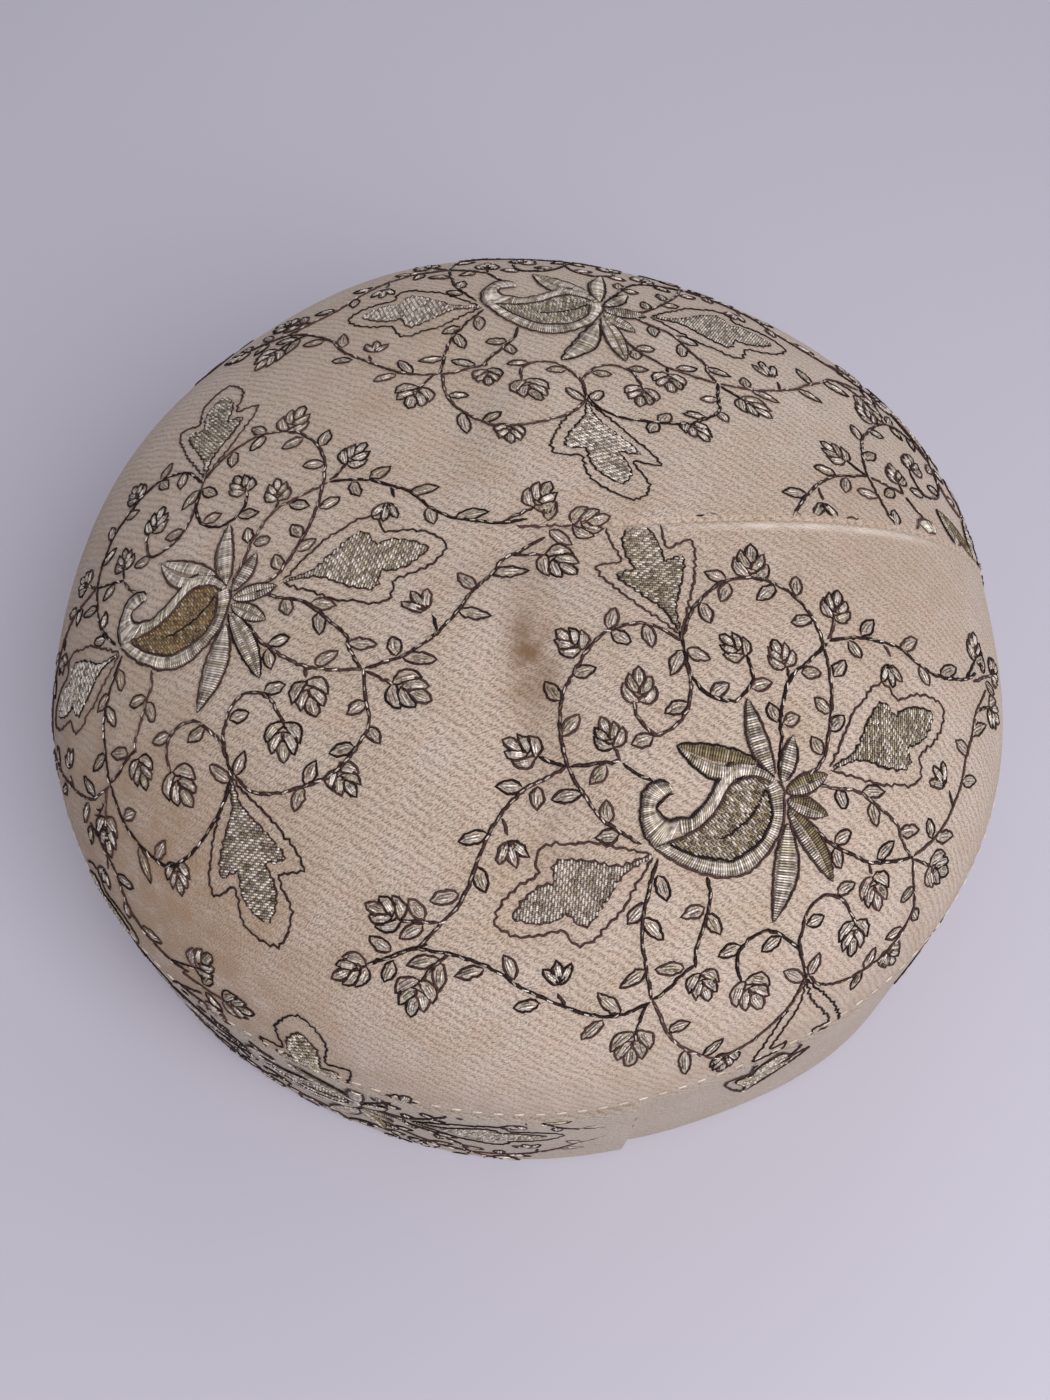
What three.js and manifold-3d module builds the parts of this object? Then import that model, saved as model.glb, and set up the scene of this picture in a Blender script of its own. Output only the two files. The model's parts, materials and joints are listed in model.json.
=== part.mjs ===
// Embroidered round cap: a domed cloth crown, shaped by one sewn dart, on an upright side band.
// Millimetres, +Z up, origin on the floor at the middle of the rim. The wearer's front is -Y.
import * as THREE from "three";
import { mergeVertices } from "three/addons/utils/BufferGeometryUtils.js";
import Module from "manifold-3d";

// Driving dimensions
const CLOTH = 2.0; // thickness of the padded cloth in both pieces
const BAND_HEIGHT = 42; // floor to the seam between band and crown
const CROWN_RISE = 48; // that seam to the top of the dome
const SEAM_GAP = 0.3; // between the two pieces where they are sewn together
const MEAN_RADIUS = 92; // the outline's mean radius, which both profiles are drawn at
const HEM_HEIGHT = 12; // cloth turned up inside the rim
const HEM_CLOTH = 1.0; // what the turned-up layer adds to the wall
const RIM_ROUND = 0.5; // softened corners of the rim

// The dome's profile is a superellipse: higher powers make a flatter top and a fuller shoulder.
const DOME_POWER = { across: 2.8, up: 1.8 };

// Facets
const ROUND_STEPS = 72;
const OUTER_RINGS = 16;
const INNER_RINGS = 12;

// Outline seen from above: a row for each section, azimuth 0 at +X and 90 at the back.
const SECTIONS = [
  { azimuth: 0, seam: 91.0, rim: 91.0 },
  { azimuth: 22.5, seam: 93.0, rim: 92.5 },
  { azimuth: 45, seam: 91.5, rim: 91.0 },
  { azimuth: 67.5, seam: 90.5, rim: 90.5 },
  { azimuth: 90, seam: 92.0, rim: 91.5 },
  { azimuth: 112.5, seam: 93.5, rim: 93.0 },
  { azimuth: 135, seam: 91.5, rim: 91.5 },
  { azimuth: 157.5, seam: 91.5, rim: 91.5 },
  { azimuth: 180, seam: 91.0, rim: 91.0 },
  { azimuth: 202.5, seam: 92.5, rim: 93.0 },
  { azimuth: 225, seam: 92.5, rim: 92.5 },
  { azimuth: 247.5, seam: 91.5, rim: 91.0 },
  { azimuth: 270, seam: 92.0, rim: 91.5 },
  { azimuth: 292.5, seam: 91.0, rim: 91.0 },
  { azimuth: 315, seam: 93.0, rim: 94.5 },
  { azimuth: 337.5, seam: 93.0, rim: 93.5 },
];

// Soft hollows of the crown seen from above: where, which way the long side runs, and how deep.
// A negative depth is a swell.
const HOLLOWS = [
  { name: "front_valley", x: 2, y: -44, heading: 95, length: 52, width: 20, depth: 1.6 },
  { name: "dart_dip", x: 8, y: -14, heading: 5, length: 40, width: 14, depth: 1.2 },
  { name: "dart_pucker", x: -1, y: 16, heading: 88, length: 34, width: 16, depth: -1.2 },
  { name: "left_dip", x: -13, y: 18, heading: 80, length: 40, width: 16, depth: 1.2 },
  { name: "right_dip", x: 60, y: 24, heading: 20, length: 44, width: 26, depth: 1.4 },
];

// The dart is sewn from the top of the crown to its right edge: three places on its line from above.
const DART = {
  tip: new THREE.Vector2(-6, -8),
  middle: new THREE.Vector2(45, -6),
  edge: new THREE.Vector2(91.3, 8),
  grooveRadius: 0.9,
  grooveSides: 6,
  steps: 20,
  runOut: 3, // how far the groove's cutter goes on past the crown's edge
};

const cream = new THREE.MeshStandardMaterial({ color: 0xb9a58f, roughness: 0.9, metalness: 0.0 });
const creamBand = new THREE.MeshStandardMaterial({ color: 0xae9b86, roughness: 0.9, metalness: 0.0 });

const wasm = await Module();
wasm.setup();

// Outline radius at an azimuth in radians, on a smooth closed curve through the sections.
function outlineRadius(azimuth, column) {
  const count = SECTIONS.length;
  const turn = (azimuth / (2 * Math.PI)) * count;
  const place = ((turn % count) + count) % count;
  const row = Math.floor(place);
  const t = place - row;
  const [a, b, c, d] = [-1, 0, 1, 2].map((k) => SECTIONS[(row + k + count) % count][column]);
  const bend = (2 * a - 5 * b + 4 * c - d) * t * t + (3 * b - a - 3 * c + d) * t * t * t;
  return 0.5 * (2 * b + (c - a) * t + bend);
}

// How far the crown sinks at a place seen from above.
function sag(x, y) {
  return HOLLOWS.reduce((sum, h) => {
    const heading = THREE.MathUtils.degToRad(h.heading);
    const along = (x - h.x) * Math.cos(heading) + (y - h.y) * Math.sin(heading);
    const across = (y - h.y) * Math.cos(heading) - (x - h.x) * Math.sin(heading);
    const reach = (2 * along / h.length) ** 2 + (2 * across / h.width) ** 2;
    return sum + h.depth * Math.exp(-reach);
  }, 0);
}

// Dome profile at a share of the quarter turn from the seam (0) to the top (1): radius and height.
function domePoint(share) {
  const angle = (share * Math.PI) / 2;
  return new THREE.Vector2(
    MEAN_RADIUS * Math.cos(angle) ** (2 / DOME_POWER.across),
    CROWN_RISE * Math.sin(angle) ** (2 / DOME_POWER.up),
  );
}

// The same profile, moved in by the thickness of the cloth.
function liningPoint(share) {
  if (share <= 0) return new THREE.Vector2(MEAN_RADIUS - CLOTH, 0);
  if (share >= 1) return new THREE.Vector2(0, CROWN_RISE - CLOTH);
  const nudge = 1e-3;
  const run = domePoint(share + nudge).sub(domePoint(share - nudge)).normalize();
  return domePoint(share).add(new THREE.Vector2(-run.y, run.x).multiplyScalar(CLOTH));
}

// Even shares from 0 to 1.
function shares(count) {
  return Array.from({ length: count + 1 }, (_, i) => i / count);
}

// Turns a profile about Z and moves each point with a function of its place.
function softTurning(profile, move) {
  const geometry = new THREE.LatheGeometry(profile, ROUND_STEPS).rotateX(Math.PI / 2);
  const position = geometry.getAttribute("position");
  const point = new THREE.Vector3();
  for (let i = 0; i < position.count; i++) {
    point.fromBufferAttribute(position, i);
    move(point);
    position.setXYZ(i, point.x, point.y, point.z);
  }
  return geometry;
}

function solidOf(geometry) {
  const bare = geometry.clone();
  bare.deleteAttribute("normal");
  bare.deleteAttribute("uv");
  const merged = mergeVertices(bare, 1e-3);
  const triVerts = new Uint32Array(merged.index.array);
  const vertProperties = merged.getAttribute("position").array;
  return new wasm.Manifold(new wasm.Mesh({ numProp: 3, vertProperties, triVerts }));
}

function geometryOf(solid) {
  const { vertProperties, triVerts } = solid.getMesh();
  const geometry = new THREE.BufferGeometry();
  geometry.setAttribute("position", new THREE.BufferAttribute(vertProperties, 3));
  geometry.setIndex(new THREE.BufferAttribute(triVerts, 1));
  geometry.computeVertexNormals();
  return geometry;
}

// A point of the crown drawn at the mean radius goes out to the real outline and down into the hollows.
function drapeCrown(point) {
  const azimuth = Math.atan2(point.y, point.x);
  const spread = outlineRadius(azimuth, "seam") / MEAN_RADIUS;
  point.x *= spread;
  point.y *= spread;
  const looseness = THREE.MathUtils.smoothstep(point.z, 0, CROWN_RISE / 2);
  point.z += BAND_HEIGHT - looseness * sag(point.x, point.y);
}

// Height of the crown's outer face over a place seen from above.
function crownHeight(x, y) {
  const edge = outlineRadius(Math.atan2(y, x), "seam");
  const across = Math.min(Math.hypot(x, y) / edge, 1);
  const rise = CROWN_RISE * (1 - across ** DOME_POWER.across) ** (1 / DOME_POWER.up);
  return BAND_HEIGHT + rise - THREE.MathUtils.smoothstep(rise, 0, CROWN_RISE / 2) * sag(x, y);
}

// The groove's steps get shorter towards the edge, where the dome drops away.
function dartGroove() {
  const plan = new THREE.QuadraticBezierCurve(DART.tip, DART.middle, DART.edge);
  const line = shares(DART.steps).map((share) => {
    const p = plan.getPoint(Math.sin((share * Math.PI) / 2));
    return new THREE.Vector3(p.x, p.y, crownHeight(p.x, p.y));
  });
  line.push(new THREE.Vector3(DART.edge.x, DART.edge.y, BAND_HEIGHT - DART.runOut));
  const section = new THREE.Shape(
    new THREE.EllipseCurve(0, 0, DART.grooveRadius, DART.grooveRadius).getPoints(DART.grooveSides).slice(1),
  );
  return new THREE.ExtrudeGeometry(section, {
    steps: DART.steps * 2,
    bevelEnabled: false,
    extrudePath: new THREE.CatmullRomCurve3(line),
  });
}

function makeCrown() {
  const inside = shares(INNER_RINGS).map(liningPoint);
  const outside = shares(OUTER_RINGS).map(domePoint).reverse();
  const wall = softTurning([...outside, ...inside].reverse(), drapeCrown);
  const crown = new THREE.Mesh(geometryOf(solidOf(wall).subtract(solidOf(dartGroove()))), cream);
  crown.name = "crown";
  return crown;
}

function makeSideBand() {
  const top = BAND_HEIGHT - SEAM_GAP;
  const wall = MEAN_RADIUS - CLOTH;
  const hem = wall - HEM_CLOTH;
  const middle = (HEM_HEIGHT + top) / 2;
  const profile = [
    [hem, RIM_ROUND],
    [hem + RIM_ROUND, 0],
    [MEAN_RADIUS - RIM_ROUND, 0],
    [MEAN_RADIUS, RIM_ROUND],
    [MEAN_RADIUS, HEM_HEIGHT],
    [MEAN_RADIUS, middle],
    [MEAN_RADIUS, top],
    [wall, top],
    [wall, middle],
    [wall, HEM_HEIGHT + HEM_CLOTH],
    [hem, HEM_HEIGHT],
    [hem, RIM_ROUND],
  ].map(([radius, height]) => new THREE.Vector2(radius, height));
  const geometry = softTurning(profile, (point) => {
    const azimuth = Math.atan2(point.y, point.x);
    const seam = outlineRadius(azimuth, "seam");
    const rim = outlineRadius(azimuth, "rim");
    const radius = Math.hypot(point.x, point.y);
    const out = THREE.MathUtils.lerp(rim, seam, point.z / BAND_HEIGHT) - MEAN_RADIUS;
    point.x *= (radius + out) / radius;
    point.y *= (radius + out) / radius;
  });
  const band = new THREE.Mesh(geometry, creamBand);
  band.name = "side_band";
  return band;
}

const cap = new THREE.Group();
cap.add(makeCrown(), makeSideBand());

export default cap;
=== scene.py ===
"""Dresses the embroidered round cap: its twill cloth, the dart and seams, and the vine embroidery on it.

Shapes are worked out in millimetres and go into the meshes in metres. The wearer's front is -Y, +Z is up,
and the dart runs to +X. Azimuths are degrees seen from above, 0 at +X and 90 at the back.
"""

from __future__ import annotations

import json
import logging
import math
from collections.abc import Callable, Sequence
from dataclasses import dataclass, field
from enum import Enum
from functools import cached_property

import bpy
import numpy as np
from mathutils import Matrix, Vector

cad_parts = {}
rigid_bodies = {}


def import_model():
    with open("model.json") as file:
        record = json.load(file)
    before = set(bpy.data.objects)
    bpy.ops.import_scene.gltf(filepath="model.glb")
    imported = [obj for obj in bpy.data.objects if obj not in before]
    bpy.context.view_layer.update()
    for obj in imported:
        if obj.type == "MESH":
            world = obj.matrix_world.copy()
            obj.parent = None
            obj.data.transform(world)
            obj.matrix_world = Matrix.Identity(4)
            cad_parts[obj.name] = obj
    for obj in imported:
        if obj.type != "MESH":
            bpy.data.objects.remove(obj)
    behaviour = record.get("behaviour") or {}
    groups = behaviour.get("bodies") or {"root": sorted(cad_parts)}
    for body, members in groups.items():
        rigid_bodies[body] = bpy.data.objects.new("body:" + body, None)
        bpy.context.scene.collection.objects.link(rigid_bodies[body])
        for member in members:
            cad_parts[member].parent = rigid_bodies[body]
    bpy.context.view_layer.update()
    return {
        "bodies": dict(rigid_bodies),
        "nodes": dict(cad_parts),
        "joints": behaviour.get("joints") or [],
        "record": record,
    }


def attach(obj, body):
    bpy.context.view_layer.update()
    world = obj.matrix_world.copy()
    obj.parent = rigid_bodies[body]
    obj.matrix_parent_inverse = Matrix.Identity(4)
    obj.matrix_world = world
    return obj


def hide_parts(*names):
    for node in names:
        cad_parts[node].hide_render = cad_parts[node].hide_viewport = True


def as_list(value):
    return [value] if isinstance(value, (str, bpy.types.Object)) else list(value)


Array = np.ndarray
Point = tuple[float, float]
Span = tuple[float, float]  # from a low value to a high one
Colour = tuple[float, float, float]
Lay = Callable[[Array], tuple[Array, Array, Array]]

log = logging.getLogger("round_cap")

MM = 0.001  # metres in a millimetre
BODY = "root"
CROWN_SEED = 11  # of the crown's first spray, and one more for each that follows
BAND_SEED = 31  # of the band's first spray
CLOTH_MAP = "cloth"  # UV map that holds a cloth's flat cut
CLOTH_MAP_SPAN = 100.0  # millimetres of cloth to one unit of that map
WEAR_AND_HIGHLIGHT = "wear_and_highlight"  # how worn the cloth is at each vertex, with a painted highlight on the dart's ridge
TINT = "tint"  # how bright the thread is at each vertex
ALONG = "along"  # length along the thread at each vertex


def smoothstep(value: Array, low: float, high: float) -> Array:
    """Eases from 0 at low to 1 at high."""
    t = np.clip((value - low) / (high - low), 0.0, 1.0)
    return t * t * (3.0 - 2.0 * t)


def unit(vectors: Array) -> Array:
    """Scales each row to length 1."""
    return vectors / np.maximum(np.linalg.norm(vectors, axis=-1, keepdims=True), 1e-12)


def deselect() -> None:
    """Leaves object mode with nothing selected."""
    if bpy.context.object is not None and bpy.context.object.mode != "OBJECT":
        bpy.ops.object.mode_set(mode="OBJECT")
    bpy.ops.object.select_all(action="DESELECT")


# Shape of the cap


@dataclass(frozen=True)
class Patch:
    """A soft-edged oval on the crown seen from above: where it is, where its long side points, its size."""

    name: str
    x: float
    y: float
    heading: float
    length: float
    width: float

    def share(self, x: Array, y: Array) -> Array:
        """How strongly the oval counts at places seen from above, 1 in its middle."""
        turn = math.radians(self.heading)
        along = (x - self.x) * math.cos(turn) + (y - self.y) * math.sin(turn)
        across = (y - self.y) * math.cos(turn) - (x - self.x) * math.sin(turn)
        return np.exp(-((2 * along / self.length) ** 2) - (2 * across / self.width) ** 2)


@dataclass(frozen=True)
class Hollow(Patch):
    """A patch where the crown sinks. A negative depth is a swell."""

    depth: float = 0.0


class SoilAndShade(Enum):
    """What darkens the cloth, named as the mesh attribute that holds it: real stains and soil, and painted
    shade.
    """

    BROWN = "brown_stain_and_shade"
    TAN = "tan_soil_and_shade"


@dataclass(frozen=True)
class StainAndShade(Patch):
    """A patch of darker cloth: a real stain or soil, painted shade, or both, as its name says."""

    strength: float = 0.0
    soil_and_shade: SoilAndShade = SoilAndShade.BROWN


HOLLOWS = (
    Hollow("front_valley", 2, -44, 95, 52, 20, 1.6),
    Hollow("dart_dip", 8, -14, 5, 40, 14, 1.2),
    Hollow("dart_pucker", -1, 16, 88, 34, 16, -1.2),
    Hollow("left_dip", -13, 18, 80, 40, 16, 1.2),
    Hollow("right_dip", 60, 24, 20, 44, 26, 1.4),
)

# Stains and soil of the cloth, and patches of painted shade.
STAINS_AND_SHADE = (
    StainAndShade("valley_stain", 0.4, -31, 96, 19, 7.5, 0.95),
    # The brown stain's faint trail down the front valley, and painted shade in the valley's fold.
    StainAndShade("valley_trail_and_shade", 3.0, -52, 95, 34, 9, 0.26),
    # Painted shade, reddish brown, under the step of the dart's seam.
    StainAndShade("dart_seam_shade", -1.0, -14, 20, 20, 9, 0.36),
    # Soil on the front left, and painted shade on that side, away from the light.
    StainAndShade("left_soil_and_shade", -60, -62, 130, 78, 36, 1.0, SoilAndShade.TAN),
    # Painted shade down the left side, away from the light.
    StainAndShade("left_side_shade", -84, -8, 92, 80, 26, 0.5, SoilAndShade.TAN),
    StainAndShade("right_soil", 63, -6, 15, 56, 42, 0.42, SoilAndShade.TAN),
    StainAndShade("front_soil", 5, -64, 0, 24, 14, 0.3, SoilAndShade.TAN),
    # Painted shade at the back, which the lights reach less.
    StainAndShade("back_shade", -26, 40, 75, 76, 46, 0.4, SoilAndShade.TAN),
    # Tan darkening at the back edge.
    StainAndShade("back_edge_darkening", 40, 66, 150, 70, 34, 0.3, SoilAndShade.TAN),
)


@dataclass(frozen=True)
class Dart:
    """The one dart that draws the crown to its dome, on a bent line from past the top to the right edge."""

    tip: Point = (-6.0, -8.0)
    middle: Point = (45.0, -6.0)
    edge: Point = (91.3, 8.0)
    steps: int = 48
    groove_depth: float = 0.4
    groove_width: float = 0.35
    lap_rise: float = 0.14
    lap_width: float = 4.0
    lap_edge: float = 0.8
    ridge_rise: float = 0.06
    ridge_place: float = -1.3
    ridge_width: float = 0.7
    ease: float = 0.14  # share of its length over which the fold opens from nothing at the tip
    wear_and_highlight_grows: Span = (0.25, 0.45)  # shares of its length where the worn stretch with its painted highlight begins
    wear_and_highlight_fades: Span = (0.68, 0.85)  # and where it ends

    @cached_property
    def line(self) -> Array:
        """Places along the dart, seen from above."""
        t = np.linspace(0.0, 1.0, self.steps + 1)[:, None]
        tip, middle, edge = (np.array(p) for p in (self.tip, self.middle, self.edge))
        return (1 - t) ** 2 * tip + 2 * t * (1 - t) * middle + t * t * edge

    def offset(self, points: Array) -> tuple[Array, Array]:
        """Finds where places lie against the dart.

        Args:
            points: Places in millimetres, one row each.

        Returns:
            The distance from the dart seen from above, positive behind it, and the share of its length from
            the tip.
        """
        best = np.full(len(points), np.inf)
        side = np.zeros(len(points))
        along = np.zeros(len(points))
        for step in range(self.steps):
            start, run = self.line[step], self.line[step + 1] - self.line[step]
            way = points[:, :2] - start
            t = np.clip(way @ run / (run @ run), 0.0, 1.0)
            gap = np.linalg.norm(way - t[:, None] * run, axis=1)
            nearer = gap < best
            best[nearer] = gap[nearer]
            turn = run[0] * way[:, 1] - run[1] * way[:, 0]
            side[nearer] = np.sign(turn[nearer])
            along[nearer] = (step + t[nearer]) / self.steps
        return best * np.where(side < 0, -1.0, 1.0), along

    def relief(self, points: Array) -> Array:
        """How far the fold raises the cloth at places: a groove, a lap behind it and a ridge before it."""
        gap, along = self.offset(points)
        groove = -self.groove_depth * np.exp(-((gap / self.groove_width) ** 2))
        behind = np.exp(-((np.maximum(gap, 0) / self.lap_width) ** 2))
        lap = self.lap_rise * smoothstep(gap, 0.0, self.lap_edge) * behind
        return smoothstep(along, 0.0, self.ease) * (groove + lap + self.ridge_rise * self.on_ridge(gap))

    def on_ridge(self, gap: Array) -> Array:
        """How strongly the ridge counts at distances from the dart, 1 on its crest."""
        return np.exp(-(((gap - self.ridge_place) / self.ridge_width) ** 2))

    def wear_and_highlight(self, points: Array) -> Array:
        """How worn the ridge before the dart is at places, up to 1: wear, and a painted highlight on its
        crest.
        """
        gap, along = self.offset(points)
        stretch = smoothstep(along, *self.wear_and_highlight_grows) * (1 - smoothstep(along, *self.wear_and_highlight_fades))
        return stretch * self.on_ridge(gap)


@dataclass(frozen=True)
class Outline:
    """A closed outline seen from above: its radius and how that changes, at even azimuths round it."""

    radius: Array
    slope: Array

    @classmethod
    def measured(cls, points: Array, column: float = 5.0, waves: int = 12, steps: int = 1440) -> Outline:
        """Fits a smooth outline to the outer face of a wall.

        Args:
            points: Places on the wall in millimetres, one row each.
            column: Degrees between the wall's upright rows of points.
            waves: How many waves round the outline the fit may have.
            steps: How many even steps the fitted outline is kept at.

        Returns:
            The outline.
        """
        azimuth = np.round(np.degrees(np.arctan2(points[:, 1], points[:, 0])) / column) * column
        reach = np.hypot(points[:, 0], points[:, 1])
        rows = np.unique(azimuth)
        outer = np.array([reach[azimuth == row].max() for row in rows])
        order = np.arange(1, waves + 1)

        def basis(turn: Array) -> Array:
            """Columns of the fit at azimuths in radians."""
            turns = np.outer(turn, order)
            return np.hstack([np.ones((len(turn), 1)), np.cos(turns), np.sin(turns)])

        weights = np.linalg.lstsq(basis(np.radians(rows)), outer, rcond=None)[0]
        radius = basis(np.linspace(0.0, 2 * math.pi, steps + 1)) @ weights
        return cls(radius, np.gradient(radius, 2 * math.pi / steps))

    def at(self, azimuth: Array) -> tuple[Array, Array]:
        """Radius and its change for each radian, at azimuths in radians."""
        turn = np.mod(azimuth, 2 * math.pi)
        grid = np.linspace(0.0, 2 * math.pi, len(self.radius))
        return np.interp(turn, grid, self.radius), np.interp(turn, grid, self.slope)


@dataclass(frozen=True)
class CapShape:
    """The cap's outer face: a soft dome on a side band, with both outlines measured from the frame."""

    seam: Outline
    rim: Outline
    seam_height: float
    rise: float = 48.0
    across_power: float = 2.8
    up_power: float = 1.8
    dart: Dart = Dart()
    profile_steps: int = 2000
    walk_steps: int = 60

    @classmethod
    def measured(cls, frame: dict, seam_slice: float = 0.01, rim_slice: float = 1.0) -> CapShape:
        """Reads the outlines and the seam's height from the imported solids.

        Args:
            seam_slice: How far over the crown's lowest points its outline is read.
            rim_slice: How far over the floor the band's outline is read.

        Returns:
            The shape.
        """
        nodes = (frame["nodes"][node].data for node in ("crown", "side_band"))
        crown, band = (np.array([v.co for v in mesh.vertices]) / MM for mesh in nodes)
        low = crown[:, 2].min()
        return cls(
            seam=Outline.measured(crown[crown[:, 2] < low + seam_slice]),
            rim=Outline.measured(band[band[:, 2] < rim_slice]),
            seam_height=float(low),
        )

    @cached_property
    def mean_radius(self) -> float:
        """Mean radius of the seam."""
        return float(self.seam.radius[:-1].mean())

    @cached_property
    def profile(self) -> tuple[Array, Array, Array]:
        """The dome's profile from the seam to the top: length along it, radius and height over the seam."""
        angle = np.linspace(0.0, math.pi / 2, self.profile_steps)
        radius = self.mean_radius * np.clip(np.cos(angle), 0, 1) ** (2 / self.across_power)
        height = self.rise * np.sin(angle) ** (2 / self.up_power)
        arc = np.concatenate([[0.0], np.cumsum(np.hypot(np.diff(radius), np.diff(height)))])
        return arc, radius, height

    @property
    def cut_radius(self) -> float:
        """Length of cloth from the top of the crown to the seam."""
        return float(self.profile[0][-1])

    def dome(self, azimuth: Array, arc: Array) -> Array:
        """Places on the dome.

        Args:
            azimuth: Radians.
            arc: Length of cloth up from the seam, in millimetres.

        Returns:
            Places, one row each.
        """
        length, radius, height = self.profile
        reach = np.interp(arc, length, radius) * self.seam.at(azimuth)[0] / self.mean_radius
        rise = np.interp(arc, length, height)
        return np.stack([reach * np.cos(azimuth), reach * np.sin(azimuth), self.seam_height + rise], axis=-1)

    def band(self, azimuth: Array, height: Array) -> Array:
        """Places on the outer face of the side band, at azimuths in radians and heights over the floor."""
        share = height / self.seam_height
        reach = (1 - share) * self.rim.at(azimuth)[0] + share * self.seam.at(azimuth)[0]
        return np.stack([reach * np.cos(azimuth), reach * np.sin(azimuth), height], axis=-1)

    def gradient(self, points: Array) -> tuple[Array, Array]:
        """How far places are from the dome, in its own measure, and which way that grows."""
        x, y, z = points.T
        reach = np.maximum(np.hypot(x, y), 1e-6)
        radius, slope = self.seam.at(np.arctan2(y, x))
        across = reach / radius
        up = np.maximum(z - self.seam_height, 0.0) / self.rise
        value = across**self.across_power + up**self.up_power - 1.0
        out = self.across_power * across ** (self.across_power - 1) / radius
        around = -self.across_power * across**self.across_power * slope / (radius * reach)
        lift = self.up_power * up ** (self.up_power - 1) / self.rise
        steep = [(out * x - around * y) / reach, (out * y + around * x) / reach, lift]
        return value, np.stack(steep, axis=-1)

    def settle(self, points: Array, rounds: int = 2) -> Array:
        """Moves places near the dome onto it."""
        for _ in range(rounds):
            value, steep = self.gradient(points)
            points = points - (value / np.sum(steep * steep, axis=-1))[:, None] * steep
        return points

    def walk(self, place: Point, heading: float, flat: Array) -> tuple[Array, Array]:
        """Lays flat places on the dome, each straight along the cloth from one place.

        Args:
            place: The starting place, seen from above.
            heading: Degrees that the flat design's first axis runs at there, seen from above.
            flat: Flat places measured from the start, one row each.

        Returns:
            Places on the dome and the directions that stand straight up from it.
        """
        azimuth = math.atan2(place[1], place[0])
        share = np.clip(math.hypot(*place) / self.seam.at(np.array([azimuth]))[0][0], 0.0, 1.0)
        height = self.rise * (1.0 - share**self.across_power) ** (1.0 / self.up_power)
        start = self.settle(np.array([[place[0], place[1], self.seam_height + height]]))
        upright = unit(self.gradient(start)[1])[0]
        ahead = np.array([math.cos(math.radians(heading)), math.sin(math.radians(heading)), 0.0])
        ahead = unit(ahead - upright * (ahead @ upright))
        left = np.cross(upright, ahead)
        reach = np.linalg.norm(flat, axis=1)
        way = unit(flat[:, :1] * ahead + flat[:, 1:] * left)
        points = np.repeat(start, len(flat), axis=0)
        step = (reach / self.walk_steps)[:, None]
        for _ in range(self.walk_steps):
            points = self.settle(points + way * step)
            normal = unit(self.gradient(points)[1])
            way = unit(way - normal * np.sum(way * normal, axis=1, keepdims=True))
        return points, unit(self.gradient(points)[1])

    def drape(self, points: Array, normals: Array) -> Array:
        """Moves places on the smooth dome down into its hollows and up onto the dart's fold."""
        loose = smoothstep(points[:, 2] - self.seam_height, 0.0, self.rise / 2)
        sunk = points.copy()
        for hollow in HOLLOWS:
            sunk[:, 2] -= loose * hollow.depth * hollow.share(points[:, 0], points[:, 1])
        return sunk + normals * self.dart.relief(points)[:, None]


# Finishes


@dataclass(frozen=True)
class Flecks:
    """Soft noise: how many flecks come to a unit of length, and how finely they break up."""

    scale: float
    detail: float = 2.0


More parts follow.
